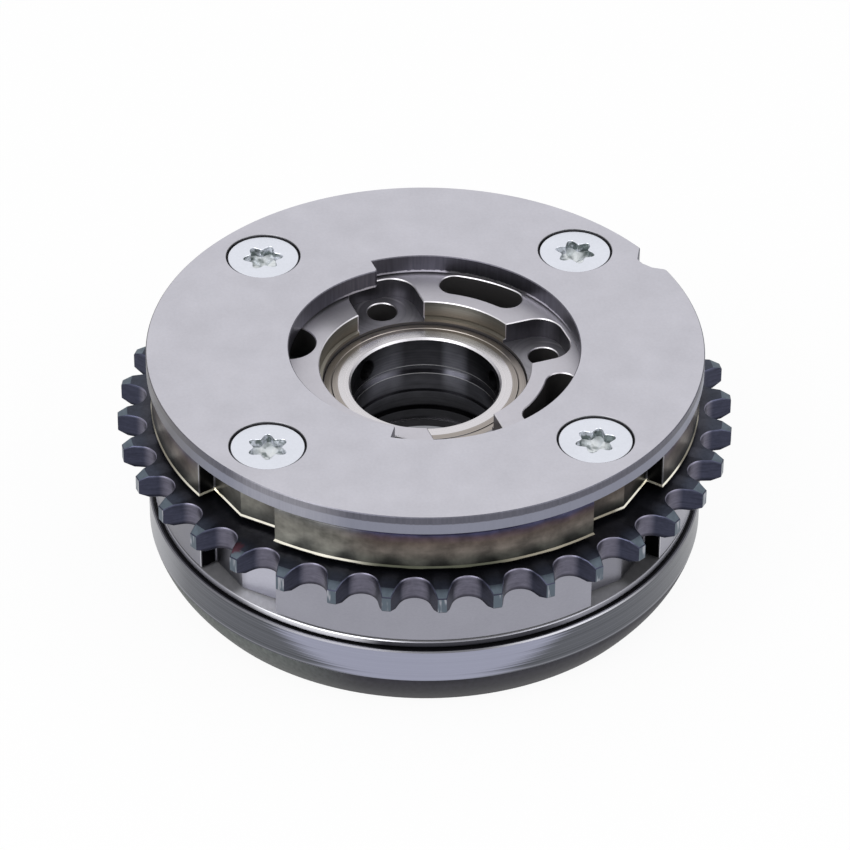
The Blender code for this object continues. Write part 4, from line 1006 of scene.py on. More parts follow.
class RotorLooks(PropertyGroup):
    counterbore_radius: length("Counterbore", "Radius of the counterbore", 16.35)
    counterbore_depth: length("Counterbore Depth", "Depth of the counterbore", 2.85)
    bore_radius: length("Bore Radius", "Radius of the bore", 15.87)
    pocket_half_width: length("Pocket Half Width", "Half the width of a pocket", 5.4)
    pocket_end: length("Pocket End", "Radius at which a pocket ends", 23.2)
    pocket_corner: length("Pocket Corner", "Corner radius of a pocket", 4.0)
    pocket_depth: length("Pocket Depth", "Depth of a pocket", 3.5)
    hole_radius: length("Hole Radius", "Radius of a pocket's hole", 2.35)
    hole_circle: length("Hole Circle", "Radius of the circle of holes", 19.6)
    hole_depth: length("Hole Depth", "Depth of a pocket's hole", 12.0)
    kidney_inner: length("Kidney Inner", "Inner radius of a kidney slot", 19.0)
    kidney_outer: length("Kidney Outer", "Outer radius of a kidney slot", 23.9)
    kidney_half_span: angle("Kidney Half Span", "Half the angle of a kidney slot", 18.45)
    kidney_depth: length("Kidney Depth", "Depth of a kidney slot", 14.0)
    edge_break: length("Edge Break", "Small chamfer along the cut edges", 0.14)
    rim_chamfer: length("Rim Chamfer", "Chamfer round the vanes", 0.25)
    vane_tip: length("Vane Tip", "Radius of the vane tips", 37.9)
    vane_half: angle("Vane Half Angle", "Half the angle of a narrow vane", 6.0)
    stop_vane_half: angle("Stop Vane Half Angle", "Half the angle of the stop vane", 18.3)
    vane_phase: angle("Vane Phase", "Direction of the stop vane", 167.5)
    seal_half_width: length("Seal Groove", "Half the width of a seal groove", 1.3)
    seal_floor: length("Seal Floor", "Radius of a seal groove's floor", 34.4)
    face_colour: colour("Face", "The ground face", 190, 188, 195)
    wall_colour: colour("Pocket Wall", "Walls of the pockets", 78, 77, 82)
    floor_colour: colour("Pocket Floor", "Floors of the pockets", 150, 149, 155)
    arc_colour: colour("Cutter Arcs", "The bright arc on a pocket's floor", 200, 198, 202)
    hole_colour: colour("Deep Holes", "Kidney slots and drilled holes", 104, 102, 103)
    counterbore_low_colour: colour("Counterbore Foot", "Tint at its foot", 124, 120, 112)
    counterbore_high_colour: colour("Counterbore Top", "Tint at its top", 104, 104, 98)


class SleeveLooks(PropertyGroup):
    bore_radius: length("Bore Radius", "Radius of the bore", 11.55)
    seat_radius: length("Seat Radius", "Radius of the seat at the foot", 11.1)
    seat_top: length("Seat Top", "Height of the seat", 14.7)
    rim_radius: length("Rim Radius", "Outer radius of the rim", 13.5)
    outer_radius: length("Outer Radius", "Outer radius of the sleeve", 15.75)
    shoulder_drop: length("Shoulder Drop", "How far the shoulder falls outwards", 0.3)
    rim_chamfer: length("Rim Chamfer", "Chamfer at the mouth of the bore", 0.3)
    groove_depth: length("Groove Depth", "Depth of the oil grooves in the bore", 0.6)
    groove_width: length("Groove Width", "Width of the oil grooves in the bore", 1.5)
    line_height: length("Line Groove", "Height of the fine groove", 20.45)
    line_depth: length("Line Groove Depth", "Depth of the fine groove", 0.3)
    line_width: length("Line Groove Width", "Width of the fine groove", 0.9)
    outer_groove_width: length("Outer Groove Width", "Width of the outer grooves", 3.0)
    outer_groove_depth: length("Outer Groove Depth", "Depth of the outer grooves", 1.0)
    port_radius: length("Port Radius", "Radius of the upper ports", 1.7)
    port_height: length("Port Height", "Height of the upper ports", 27.3)
    port_phase: angle("Port Phase", "Direction of the first port", 142.5)
    port_count: IntProperty(name="Ports", description="Ports in each row", default=3, min=1)
    rim_colour: colour("Rim", "The faced rim", 212, 209, 212)
    shoulder_colour: colour("Shoulder", "The shoulder", 160, 153, 148)
    bore_colour: colour("Bore", "The bore", 74, 74, 78)
    # Painted highlight lines along the groove's edges
    line_highlight_colour: colour("Bore Lines", "The light edges of the bore's groove", 222, 222, 222)


class LockLooks(PropertyGroup):
    plug_radius: length("Plug Radius", "Outer radius of the plug", 3.9)
    plug_chamfer: length("Plug Chamfer", "Chamfer of the plug", 0.35)
    vent_radius: length("Vent Radius", "Radius of the vent", 1.2)
    cone_radius: length("Cone Radius", "Radius of the plug's conical recess", 3.2)
    cone_depth: length("Cone Depth", "Depth of the conical recess", 1.0)
    coil_radius: length("Coil Radius", "Radius of the spring to the middle of its wire", 2.25)
    wire_radius: length("Wire Radius", "Radius of the spring's wire", 0.3)
    coil_turns: FloatProperty(name="Turns", description="Turns of the spring", default=5.5,
                              min=2.0)
    pin_colour: colour("Pin", "The lock pin, bush and plug", 96, 100, 98)
    spring_colour: colour("Springs", "Spring wire and strip", 120, 121, 126)
    seal_colour: colour("Seals", "The vane seals", 48, 45, 42)


class StageLooks(PropertyGroup):
    floor_size: length("Floor Size", "Length of the floor's sides", 4000.0)
    floor_colour: colour("Floor", "The plain floor", 246, 246, 247)
    floor_lift: share("Floor Lift", "How much of the floor shows as plain white", 0.93)
    world_strength: FloatProperty(name="World", description="Strength of the soft light",
                                  default=0.75, min=0.0)
    key_power: FloatProperty(name="Key", description="Power of the large soft lamp",
                             default=3.2, min=0.0, unit="POWER")
    fill_power: FloatProperty(name="Fill", description="Power of the fill lamp",
                              default=1.2, min=0.0, unit="POWER")


class CamPhaserLooks(PropertyGroup):
    stator: PointerProperty(type=StatorLooks, name="Stator", description="The stator drum")
    sprocket: PointerProperty(type=SprocketLooks, name="Sprocket", description="The teeth")
    cover: PointerProperty(type=CoverLooks, name="Cover", description="The cover plate")
    screw: PointerProperty(type=ScrewLooks, name="Screws", description="The cover screws")
    rear: PointerProperty(type=RearLooks, name="Rear Plate", description="The rear plate")
    rotor: PointerProperty(type=RotorLooks, name="Rotor", description="The rotor")
    sleeve: PointerProperty(type=SleeveLooks, name="Sleeve", description="The centre sleeve")
    lock: PointerProperty(type=LockLooks, name="Lock", description="The lock pin and seals")
    stage: PointerProperty(type=StageLooks, name="Stage", description="Floor, light, camera")


def drum_outline(looks):
    """The drum's contour: a circle stepped in at each screw to a shallow ridge."""
    half = math.degrees(looks.recess_angle)
    points = []
    for centre in SCREW_ANGLES:
        points.append(polar(looks.step_radius, centre - half))
        points.append(polar(looks.ridge_radius, centre))
        points.append(polar(looks.step_radius, centre + half))
        points += arc(looks.drum_radius, centre + half, centre + 360 / SCREW_COUNT - half)
    return points


def chamber_outline():
    """The stator's inner contour: four chambers between the lobes that hold the screws."""
    points = []
    corners = set()
    span = 360 / SCREW_COUNT - 2 * LOBE_HALF_ANGLE
    for centre in SCREW_ANGLES:
        points += arc(HUB_RADIUS + GAP, centre - LOBE_HALF_ANGLE, centre + LOBE_HALF_ANGLE)
        corners.add(len(points))
        points += arc(CHAMBER_RADIUS, centre + LOBE_HALF_ANGLE, centre + LOBE_HALF_ANGLE + span)
        corners.add(len(points) - 1)
    return rounded(points, corners, CHAMBER_CORNER)


def screw_circles(radius):
    return [circle(radius, polar(SCREW_CIRCLE, degrees)) for degrees in SCREW_ANGLES]


class CAMPHASER_OT_stator(Operator):
    """Stator drum with its recesses, neck and tempered upper band"""
    bl_idname = "cam_phaser.stator"
    bl_label = "Stator Drum"

    def execute(self, context):
        looks = context.scene.cam_phaser.stator
        sprocket = context.scene.cam_phaser.sprocket
        wall, lip_finish, band = drum_wall(looks), band_lip(looks), tempered_band(looks)
        # The neck's near-black colour is painted shadow.
        neck = Finish("neck_black", roughness=0.5).grained(looks.neck_shadow_colour)
        drum = drum_outline(looks)
        foot = inset(drum, looks.lower_chamfer)
        waist = inset(drum, looks.neck_depth)
        broken = inset(drum, looks.band_chamfer)
        lip = inset(drum, -looks.lip_width)
        middle = sprocket.base + sprocket.width / 2
        lip_base = looks.band_base + 0.15 * MM
        lip_top = lip_base + 0.1 * MM
        form = Form()
        form.stack(
            [(foot, STATOR_BASE), (drum, STATOR_BASE + looks.lower_chamfer), (drum, middle),
             (waist, middle), (waist, looks.band_base), (broken, looks.band_base),
             (lip, lip_base), (lip, lip_top), (drum, lip_top + looks.lip_height),
             (drum, STATOR_TOP - looks.band_chamfer), (broken, STATOR_TOP)],
            [wall, wall, neck, neck, neck, neck, lip_finish, lip_finish, band, band])
        openings = [chamber_outline(), *screw_circles(SCREW_SHANK + GAP)]
        for inner in openings:
            form.wall(inner, STATOR_BASE, inner, STATOR_TOP, wall)
        form.cap([foot, *openings], STATOR_BASE, wall)
        form.cap([broken, *openings], STATOR_TOP, wall)
        add_piece("stator_drum", form.mesh("stator_drum"), "housing", "sintered_steel",
                  "stator_sprocket")
        return {"FINISHED"}


def tooth_path(looks):
    """Half a gullet, a tooth and half a gullet, counter-clockwise about a tooth on +X."""
    pitch_angle = 360 / looks.teeth
    pitch_radius = looks.pitch / 2 / math.sin(math.pi / looks.teeth)
    lean = math.degrees(looks.flank_angle)
    half = arc(looks.seat_radius, pitch_angle / 2 + 180, pitch_angle / 2 + 270 - lean, 6.0,
               polar(pitch_radius, pitch_angle / 2))
    start = half[-1]
    direction = Matrix.Rotation(-looks.flank_angle, 3, "Z") @ polar(1.0, pitch_angle / 2)
    along = start.dot(direction)
    for radius in (looks.tip_radius - looks.chamfer_depth, looks.tip_radius):
        reach = -along + math.sqrt(along * along - start.length_squared + radius * radius)
        half.append(start + direction * reach)
    tip_angle = math.degrees(math.atan2(half[-1].y, half[-1].x))
    mirrored = [Vector((p.x, -p.y, 0.0)) for p in half]
    return mirrored + arc(looks.tip_radius, -tip_angle, tip_angle, 0.6)[1:-1] + half[::-1]


def tooth_mesh(looks, face, seat, land, tip):
    """One sector of the sprocket ring, open at its two sides."""
    path = tooth_path(looks)
    pitch_angle = 360 / looks.teeth
    ring = [point for k in (-1, 0, 1) for point in turned_by(path, k * pitch_angle)[:-1]]
    count = len(path) - 1
    broken = inset(ring, looks.edge_break)[count:2 * count + 1]
    shoulder = looks.tip_radius - looks.chamfer_depth
    fall = (looks.width - looks.tip_width) / 2 / looks.chamfer_depth
    low = looks.base
    high = looks.base + looks.width
    inner = [polar(looks.inner_radius, math.degrees(math.atan2(p.y, p.x))) for p in path]

    def drop(point):
        """How far the chamfer has fallen at a point."""
        return max(0.0, point.length - shoulder) * fall

    def crest(point):
        """The point, moved in to where the chamfer starts."""
        return point * min(1.0, shoulder / point.length)

    form = Form()
    for i in range(count):
        ends = path[i], path[i + 1]
        edges = broken[i], broken[i + 1]
        crests = crest(edges[0]), crest(edges[1])
        for side, level in ((1.0, high), (-1.0, low)):
            rise = side * looks.edge_break
            foot = [(p.x, p.y, level - side * drop(p) - rise) for p in ends]
            brink = [(p.x, p.y, level - side * drop(p)) for p in edges]
            flat = [(p.x, p.y, level) for p in crests]
            form.face([*foot, *brink[::-1]], seat)
            if flat != brink:
                form.face([*brink, *flat[::-1]], land)
            form.face([*flat, (*inner[i + 1].xy, level), (*inner[i].xy, level)], face)
        top = [(p.x, p.y, high - drop(p) - looks.edge_break) for p in ends]
        bottom = [(p.x, p.y, low + drop(p) + looks.edge_break) for p in ends]
        on_tip = min(p.length for p in ends) > looks.tip_radius - 0.01 * MM
        form.face([*bottom, *top[::-1]], tip if on_tip else seat)
    form.wall(inner, low, inner, high, face, closed=False)
    return form.mesh("sprocket_tooth")


def teeth_tree(surfaces):
    """Copies a tooth sector round the axis; its inputs are the number of teeth and the phase."""
    nodes, entry = group("Sprocket Teeth", {"Teeth": "NodeSocketInt", "Phase": "NodeSocketFloat"})
    teeth = entry.output("Teeth")
    points = nodes.node("GeometryNodePoints", None, {"Count": teeth})
    index = nodes.node("GeometryNodeInputIndex")
    turn = index * math.tau / teeth + entry.output("Phase")
    return put_on_points(nodes, points, entry, surfaces, turn, MERGE_DISTANCE)


class CAMPHASER_OT_sprocket(Operator):
    """Sprocket ring: one tooth sector repeated round the drum"""
    bl_idname = "cam_phaser.sprocket"
    bl_label = "Sprocket Ring"

    def execute(self, context):
        looks = context.scene.cam_phaser.sprocket
        tip = blotched(Finish("sprocket_tip", roughness=0.34), looks.land_colour,
                       looks.tip_colour, scale=900.0, edges=(0.52, 0.66), stretch=(0.5, 0.5, 3.5))
        sector = tooth_mesh(looks, sprocket_face(looks), sprocket_seat(looks),
                            sprocket_land(looks), tip)
        ring = grown("sprocket_ring", sector, teeth_tree(list(sector.materials)),
                     {"Teeth": looks.teeth, "Phase": looks.phase})
        add_piece("sprocket_ring", ring, "housing", "sintered_steel")
        return {"FINISHED"}


def cover_rim_outline(looks):
    """The cover's rim with its timing notch: a steep side, a floor and a ramp out."""
    rim_end, ramp_top, ramp_lip, floor_start, floor_end, steep_top, rim_start = NOTCH_ANGLES
    floor = looks.radius - looks.notch_depth
    points = [polar(floor, floor_start), polar(floor, floor_end), polar(looks.radius, steep_top)]
    points += arc(looks.radius, rim_start, rim_end + 360)
    points += [polar(looks.radius, ramp_top), polar(looks.radius - looks.notch_lip, ramp_lip)]
    count = len(points)
    return rounded(points, {0, 1, 2, count - 2, count - 1}, looks.notch_corner, 5)


def cover_opening_outline(looks):
    """The cover's opening, narrower along the shield that reaches over the lock pin."""
    start = math.degrees(looks.shield_start)
    end = math.degrees(looks.shield_end)
    points = arc(looks.shield_radius, start, end)
    shield_end = len(points) - 1
    points += arc(looks.opening_radius, end, start + 360)
    return rounded(points, {0, shield_end}, looks.shield_corner, 4)


class CAMPHASER_OT_cover(Operator):
    """Cover plate with its notch, stepped opening and countersinks"""
    bl_idname = "cam_phaser.cover"
    bl_label = "Cover Plate"

    def execute(self, context):
        looks = context.scene.cam_phaser.cover
        face = Finish("ground_face", roughness=0.5).grained(
            looks.face_colour, strength=0.25, mottle=0.1, grain=0.06, grain_scale=2200.0,
            mottle_scale=170.0)
        cone = Finish("countersink_cone", roughness=0.4).grained(looks.countersink_colour)
        chamfer = looks.edge_chamfer
        rim = cover_rim_outline(looks)
        opening = cover_opening_outline(looks)
        rim_break = inset(rim, chamfer)
        opening_break = inset(opening, -chamfer)
        form = Form()
        form.edged_wall(rim, rim_break, COVER_BASE, COVER_TOP, chamfer, [cover_rim(looks)] * 3)
        form.edged_wall(opening, opening_break, COVER_BASE, COVER_TOP, chamfer,
                        [opening_wall(looks)] * 3)
        foot, sink, mouth = (looks.sink_foot_radius, looks.sink_radius,
                             looks.sink_radius + looks.sink_break)
        for degrees in SCREW_ANGLES:
            form.lathe([(foot, COVER_BASE), (sink, looks.sink_cone_top),
                        (sink, COVER_TOP - looks.sink_break), (mouth, COVER_TOP)],
                       [cone] * 3, polar(SCREW_CIRCLE, degrees), HOLE_STEPS)
        for radius, height in ((foot, COVER_BASE), (mouth, COVER_TOP)):
            form.cap([rim_break, opening_break, *screw_circles(radius)], height, face)
        add_piece("cover_disc", form.mesh("cover_disc"), "housing", "ground_steel", "cover_plate")
        return {"FINISHED"}


def six_lobe_outline(radius, height):
    """A screw's six-lobe socket, a smooth six-fold wave."""
    swell = height / 2
    turns = [360 * i / FINE_HOLE_STEPS for i in range(FINE_HOLE_STEPS)]
    return [polar(radius - swell + swell * math.cos(math.radians(6 * turn)), turn)
            for turn in turns]


def screw_mesh(looks):
    """One countersunk screw on the axis."""
    plating = Finish("zinc_plating", roughness=0.3).grained(
        looks.head_colour, strength=0.2, mottle=0.05)
    dull = Finish("screw_edge", roughness=0.4).grained(looks.edge_colour)
    # Painted light and shade in the sockets: walls and floor blotched with shade and highlights.
    facets = blotched(Finish("socket_wall", roughness=0.28, metallic=0.6),
                      looks.socket_shade_colour, looks.head_colour, scale=800.0,
                      edges=(0.42, 0.62))
    dish = blotched(Finish("socket_floor", roughness=0.28, metallic=0.6),
                    looks.socket_shade_colour, looks.socket_highlight_colour, scale=600.0,
                    edges=(0.3, 0.52))
    head = looks.head_radius
    edge = looks.head_break
    tip = SCREW_SHANK - looks.tip_chamfer
    top = SCREW_TOP + looks.head_rise
    form = Form()
    form.lathe([(head - edge, top), (head, top - edge), (head, looks.cone_top),
                (SCREW_SHANK, looks.cone_foot), (SCREW_SHANK, SCREW_TIP + looks.tip_chamfer),
                (tip, SCREW_TIP)], [dull, dull, plating, plating, plating], steps=FINE_HOLE_STEPS)
    form.cap([circle(tip, steps=FINE_HOLE_STEPS)], SCREW_TIP, plating)
    socket = six_lobe_outline(looks.socket_radius, looks.lobe_height)
    mouth = inset(socket, -looks.socket_break)
    centre = circle(0.4 * MM, steps=FINE_HOLE_STEPS)
    floor = top - looks.socket_depth
    dish_bottom = floor - 0.6 * MM
    form.cap([circle(head - edge, steps=FINE_HOLE_STEPS), mouth], top, plating)
    form.stack([(mouth, top), (socket, top - looks.socket_break), (socket, floor),
                (centre, dish_bottom)], [plating, facets, dish])
    form.cap([centre], dish_bottom, dish)
    mesh = form.mesh("cover_screw")
    settle(mesh, "cover_screw")
    return mesh


def screw_tree(surfaces):
    """Puts a screw on each point, turned by the point's own angle."""
    nodes, entry = group("Cover Screws", {"Screw": "NodeSocketObject"})
    screw = nodes.node("GeometryNodeObjectInfo", None, {"Object": entry.output("Screw")})
    turn = nodes.node("GeometryNodeInputNamedAttribute", {"data_type": "FLOAT"},
                      {"Name": "turn"})
    return put_on_points(nodes, entry, screw.output("Geometry"), surfaces, turn)


class CAMPHASER_OT_screws(Operator):
    """Four countersunk cover screws, each turned as it was driven home"""
    bl_idname = "cam_phaser.screws"
    bl_label = "Cover Screws"

    def execute(self, context):
        mesh = screw_mesh(context.scene.cam_phaser.screw)
        screw = new_object("screw_master", mesh)
        points = bpy.data.meshes.new("screw_places")
        points.from_pydata([polar(SCREW_CIRCLE, degrees) for degrees in SCREW_ANGLES], [], [])
        turns = points.attributes.new("turn", "FLOAT", "POINT")
        turns.data.foreach_set("value", [math.radians(turn) for turn in SCREW_TURNS])
        screws = grown("cover_screws", points, screw_tree(list(mesh.materials)),
                       {"Screw": screw})
        bpy.data.objects.remove(screw)
        add_piece("cover_screws", screws, "housing", "bright_zinc",
                  *[f"cover_screw_{i + 1}" for i in range(SCREW_COUNT)])
        return {"FINISHED"}


class CAMPHASER_OT_rear_plate(Operator):
    """Rear plate: a turned disc with a tapered edge, screw holes and the bush's seat"""
    bl_idname = "cam_phaser.rear_plate"
    bl_label = "Rear Plate"

    def execute(self, context):
        looks = context.scene.cam_phaser.rear
        side, taper = turned_wall(looks), rear_taper(looks)
        face = Finish("rear_face", roughness=0.33).faced(
            looks.face_colour, scale=3000.0, contrast=0.4, strength=0.4)
        deep = Finish("groove_shadow", roughness=0.6).grained(looks.groove_shadow_colour)
        # Painted highlights at the front left and right, painted shade on the flange's edge in
        # front.
        edge = turned_edge("turned_edge", looks.edge_colour,
                           (-114.0, 7.0, 24.0, looks.edge_lit_colour))
        rim_edge = turned_edge("rim_edge", looks.rim_colour,
                               (-56.0, 7.0, 24.0, looks.rim_lit_colour))
        flange = turned_edge("flange_edge", looks.edge_colour,
                             (-82.0, 15.0, 27.0, looks.flange_front_shade_colour),
                             (-115.0, 5.0, 17.0, looks.edge_lit_colour))
        ledge_finish = flange_ledge(looks, context.scene.cam_phaser.stator)
        outer, chamfer, fine = looks.radius, looks.chamfer, looks.flange_break
        flange_base = REAR_TOP - looks.flange_thickness
        rim_top = flange_base - looks.groove_width
        bottom = looks.flange_radius - looks.groove_depth
        profile = [(looks.ledge_radius, REAR_TOP), (looks.flange_radius - fine, REAR_TOP),
                   (looks.flange_radius, REAR_TOP - fine),
                   (looks.flange_radius, flange_base), (bottom, flange_base), (bottom, rim_top),
                   (outer - chamfer - looks.rim_land, rim_top), (outer - chamfer, rim_top),
                   (outer, rim_top - chamfer), (outer, looks.taper_height + fine)]
        surfaces = [ledge_finish, edge, flange, deep, deep, deep, rim_edge, rim_edge, side, edge]
        for i in range(TAPER_STEPS + 1):
            part = i / TAPER_STEPS
            straight = outer + (looks.face_radius - outer) * part
            swell = looks.taper_bulge * math.sin(math.pi * part)
            profile.append((straight + swell - (fine if i == 0 else 0.0),
                            looks.taper_height * (1 - part)))
        form = Form()
        form.lathe(profile, surfaces + [taper] * TAPER_STEPS)
        relief, bore = looks.relief_depth, looks.bore_radius
        form.lathe([(looks.relief_outer, REAR_BASE), (looks.relief_outer - relief, relief),
                    (looks.relief_inner + relief, relief), (looks.relief_inner, REAR_BASE)],
                   [face] * 3)
        form.lathe([(looks.relief_inner, REAR_BASE), (bore + chamfer, REAR_BASE),
                    (bore, REAR_BASE + chamfer), (bore, REAR_TOP - chamfer),
                    (bore + chamfer, REAR_TOP)], [face, edge, face, edge])
        holes = screw_circles(SCREW_SHANK + GAP)
        for hole in holes:
            form.wall(hole, REAR_BASE, hole, REAR_TOP, face)
        rim, inner_rim, ledge_rim, bore_rim = (
            circle(radius, steps=LATHE_STEPS) for radius in (
                looks.face_radius, looks.relief_outer, looks.ledge_radius, bore + chamfer))
        form.cap([rim, inner_rim, *holes], REAR_BASE, face)
        keyhole, ledge = self.bush_seat(form, looks, face)
        form.cap([ledge_rim, bore_rim, keyhole, *holes], REAR_TOP, face)
        form.wall(keyhole, ledge, keyhole, REAR_TOP, face)
        add_piece("rear_disc", form.mesh("rear_disc"), "housing", "turned_steel", "rear_plate")
        return {"FINISHED"}

    @staticmethod
    def bush_seat(form, looks, face):
        """The lock bush's blind seat and the unlocking groove that runs outwards from it."""
        centre = polar(LOCK_CIRCLE, 0.0)
        half = looks.slot_width / 2
        opening = math.degrees(math.asin(half / looks.seat_radius))
        seat = arc(looks.seat_radius, opening, 360 - opening, 7.5, centre)
        mouth = arc(looks.seat_radius, -opening, opening, 7.5, centre)
        end = [Vector((looks.slot_end, -half, 0.0)), Vector((looks.slot_end, half, 0.0))]
        keyhole = turned_by(seat + end, LOCK_ANGLE)
        well = turned_by(seat + mouth[1:-1], LOCK_ANGLE)
        ledge = REAR_TOP - looks.slot_depth
        form.cap([turned_by(mouth + end[::-1], LOCK_ANGLE)], ledge, face)
        form.wall(well, looks.seat_floor, well, ledge, face)
        form.cap([well], looks.seat_floor, face)
        return keyhole, ledge


def vane_outline(looks, centre, half, relieved):
    """One vane from hub to tip and back, with the seal groove open at its tip."""
    relief = half - STOP_VANE_RELIEF if relieved else half
    groove = math.degrees(math.asin(looks.seal_half_width / looks.vane_tip))
    floor = math.degrees(math.asin(looks.seal_half_width / looks.seal_floor))
    lead = math.degrees(1.15 * VANE_CORNER / looks.vane_tip)
    points = []
    if relieved:
        points += [polar(VANE_SHELF, centre - relief), polar(VANE_SHELF, centre - half)]
    corners = {len(points)}
    points.append(polar(looks.vane_tip, centre - half))
    points += arc(looks.vane_tip, centre - half + lead, centre - groove)
    points += [polar(looks.seal_floor, centre - floor), polar(looks.seal_floor, centre + floor)]
    points += arc(looks.vane_tip, centre + groove, centre + half - lead)
    corners.add(len(points))
    points.append(polar(looks.vane_tip, centre + half))
    if relieved:
        points += [polar(VANE_SHELF, centre + half), polar(VANE_SHELF, centre + relief)]
    return points, corners, relief


def rotor_outline(looks):
    """The rotor's contour: the hub with one wide stop vane and three narrow ones."""
    narrow = math.degrees(looks.vane_half)
    wide = math.degrees(looks.stop_vane_half)
    phase = math.degrees(looks.vane_phase)
    pitch = 360 / VANE_COUNT
    points = []
    corners = set()
    for i in range(VANE_COUNT):
        centre = phase + pitch * i
        vane, vane_corners, relief = vane_outline(looks, centre, narrow if i else wide, i == 0)
        following = wide - STOP_VANE_RELIEF if i == VANE_COUNT - 1 else narrow
        corners |= {len(points) + k for k in vane_corners}
        points += vane
        points += arc(HUB_RADIUS, centre + relief, centre + pitch - following)
    return rounded(points, corners, VANE_CORNER, 5)


def kidney_outline(looks, centre):
    """A curved slot with round ends about the cam axis."""
    end = (looks.kidney_outer - looks.kidney_inner) / 2
    middle = looks.kidney_inner + end
    reach = math.degrees(looks.kidney_half_span - end / middle)
    points = arc(looks.kidney_outer, centre - reach, centre + reach)
    points += arc(end, centre + reach, centre + reach + 180, 12.0,
                  polar(middle, centre + reach))[1:]
    points += arc(looks.kidney_inner, centre + reach, centre - reach)[1:]
    points += arc(end, centre - reach + 180, centre - reach + 360, 12.0,
                  polar(middle, centre - reach))[1:-1]
    return points


class CAMPHASER_OT_rotor(Operator):
    """Rotor with its vanes, counterbore, pockets, kidney slots and lock-pin bore"""
    bl_idname = "cam_phaser.rotor"
    bl_label = "Rotor"

    def execute(self, context):
        looks = context.scene.cam_phaser.rotor
        face, wall, floor = rotor_face(looks), pocket_wall(looks), pocket_floor(looks)
        turned, edge = counterbore_wall(looks), bright_edge()
        hole = Finish("deep_hole", roughness=0.55).grained(looks.hole_colour)
        form = Form()
        rim = rotor_outline(looks)
        rim_break = inset(rim, looks.rim_chamfer)
        form.edged_wall(rim, rim_break, ROTOR_BASE, ROTOR_TOP, looks.rim_chamfer,
                        [wall, wall, edge])
        mouth, bore = self.centre_cut(form, looks, wall, floor, hole, turned, edge)
        openings = [mouth]
        for degrees in KIDNEY_ANGLES:
            kidney = kidney_outline(looks, degrees)
            openings.append(inset(kidney, -looks.edge_break))
            depth = ROTOR_TOP - looks.kidney_depth
            form.edged_hole(kidney, openings[-1], ROTOR_TOP, looks.edge_break, depth,
                            [edge, hole])
            form.cap([kidney], depth, hole)
        place = polar(LOCK_CIRCLE, LOCK_ANGLE)
        lock_bore = circle(LOCK_BORE, place)
        openings.append(circle(LOCK_BORE + looks.edge_break, place))
        form.edged_hole(lock_bore, openings[-1], ROTOR_TOP, looks.edge_break, ROTOR_BASE,
                        [edge, hole])
        form.cap([rim_break, *openings], ROTOR_TOP, face)
        form.cap([rim_break, bore, lock_bore], ROTOR_BASE, face)
        mesh = drilled(form.mesh("rotor_body"), "rotor_body", self.galleries(looks), hole)
        add_piece("rotor_body", mesh, "rotor", "rotor_steel", "rotor")
        return {"FINISHED"}

    def centre_cut(self, form, looks, wall, floor, hole, turned, edge):
        """The counterbore, the pockets open to it and the bore.

        Returns the opening's edge on the rotor's face and the bore's outline below the pockets.
        """
        counter, bore, end = looks.counterbore_radius, looks.bore_radius, looks.pocket_end
        half = looks.pocket_half_width
        ledge = ROTOR_TOP - looks.counterbore_depth
        pocket_level = ROTOR_TOP - looks.pocket_depth
        wide = math.degrees(math.asin(half / counter))
        narrow = math.degrees(math.asin(half / bore))
        corners = [Vector((counter, -half, 0.0)), Vector((end, -half, 0.0)),
                   Vector((end, half, 0.0)), Vector((counter, half, 0.0))]
        pocket_path = rounded(corners, {1, 2}, looks.pocket_corner, 12)[1:-1]
        upper, lower, ring, kinds = [], [], [], []
        for i, degrees in enumerate(POCKET_ANGLES):
            sweep = (POCKET_ANGLES[(i + 1) % len(POCKET_ANGLES)] - degrees) % 360
            pocket = turned_by(pocket_path, degrees)
            mouth = arc(bore, degrees - narrow, degrees + narrow)
            self.pocket(form, looks, degrees, [mouth[0], *pocket, *mouth[:0:-1]], floor, hole,
                        edge, pocket_level)
            span = arc(counter, degrees + wide, degrees + sweep - wide)
            steps = len(span) - 1
            low_span = [polar(bore, degrees + narrow + (sweep - 2 * narrow) * k / steps)
                        for k in range(steps + 1)]
            upper += pocket + span
            lower += pocket + low_span
            kinds += [wall] * len(pocket) + [turned] * steps + [wall]
            ring += mouth[:-1] + low_span[:-1]
        edge_path = inset(upper, -looks.edge_break)
        form.stack([(edge_path, ROTOR_TOP), (upper, ROTOR_TOP - looks.edge_break), (upper, ledge),
                    (lower, ledge - looks.edge_break), (lower, pocket_level)],
                   [edge, kinds, kinds, kinds])
        form.wall(ring, pocket_level, ring, ROTOR_BASE, hole)
        return edge_path, ring

    @staticmethod
    def pocket(form, looks, degrees, outline, floor, hole, edge, level):
        """A pocket's floor with its drilled hole."""
        place = polar(looks.hole_circle, degrees)
        rim = circle(looks.hole_radius + looks.edge_break, place)
        drill = circle(looks.hole_radius, place)
        depth = level - looks.hole_depth
        form.cap([outline, rim], level, floor)
        form.edged_hole(drill, rim, level, looks.edge_break, depth, [edge, hole])
        form.cap([drill], depth, hole)

    @staticmethod
    def galleries(looks):
        """Two oil ways to each vane, one to either side of it."""
        start = looks.bore_radius - 2.0 * MM
        end = HUB_RADIUS + 3.0 * MM
        beside_stop_vane = math.degrees(looks.stop_vane_half) - 1.2
        holes = []
        for i in range(VANE_COUNT):
            centre = math.degrees(looks.vane_phase) + 360 / VANE_COUNT * i
            offset = GALLERY_OFFSET if i else beside_stop_vane
            holes.append((GALLERY_RADIUS, centre + offset, UPPER_GALLERY, start, end))
            holes.append((GALLERY_RADIUS, centre - offset, LOWER_GALLERY, start, end))
        return holes


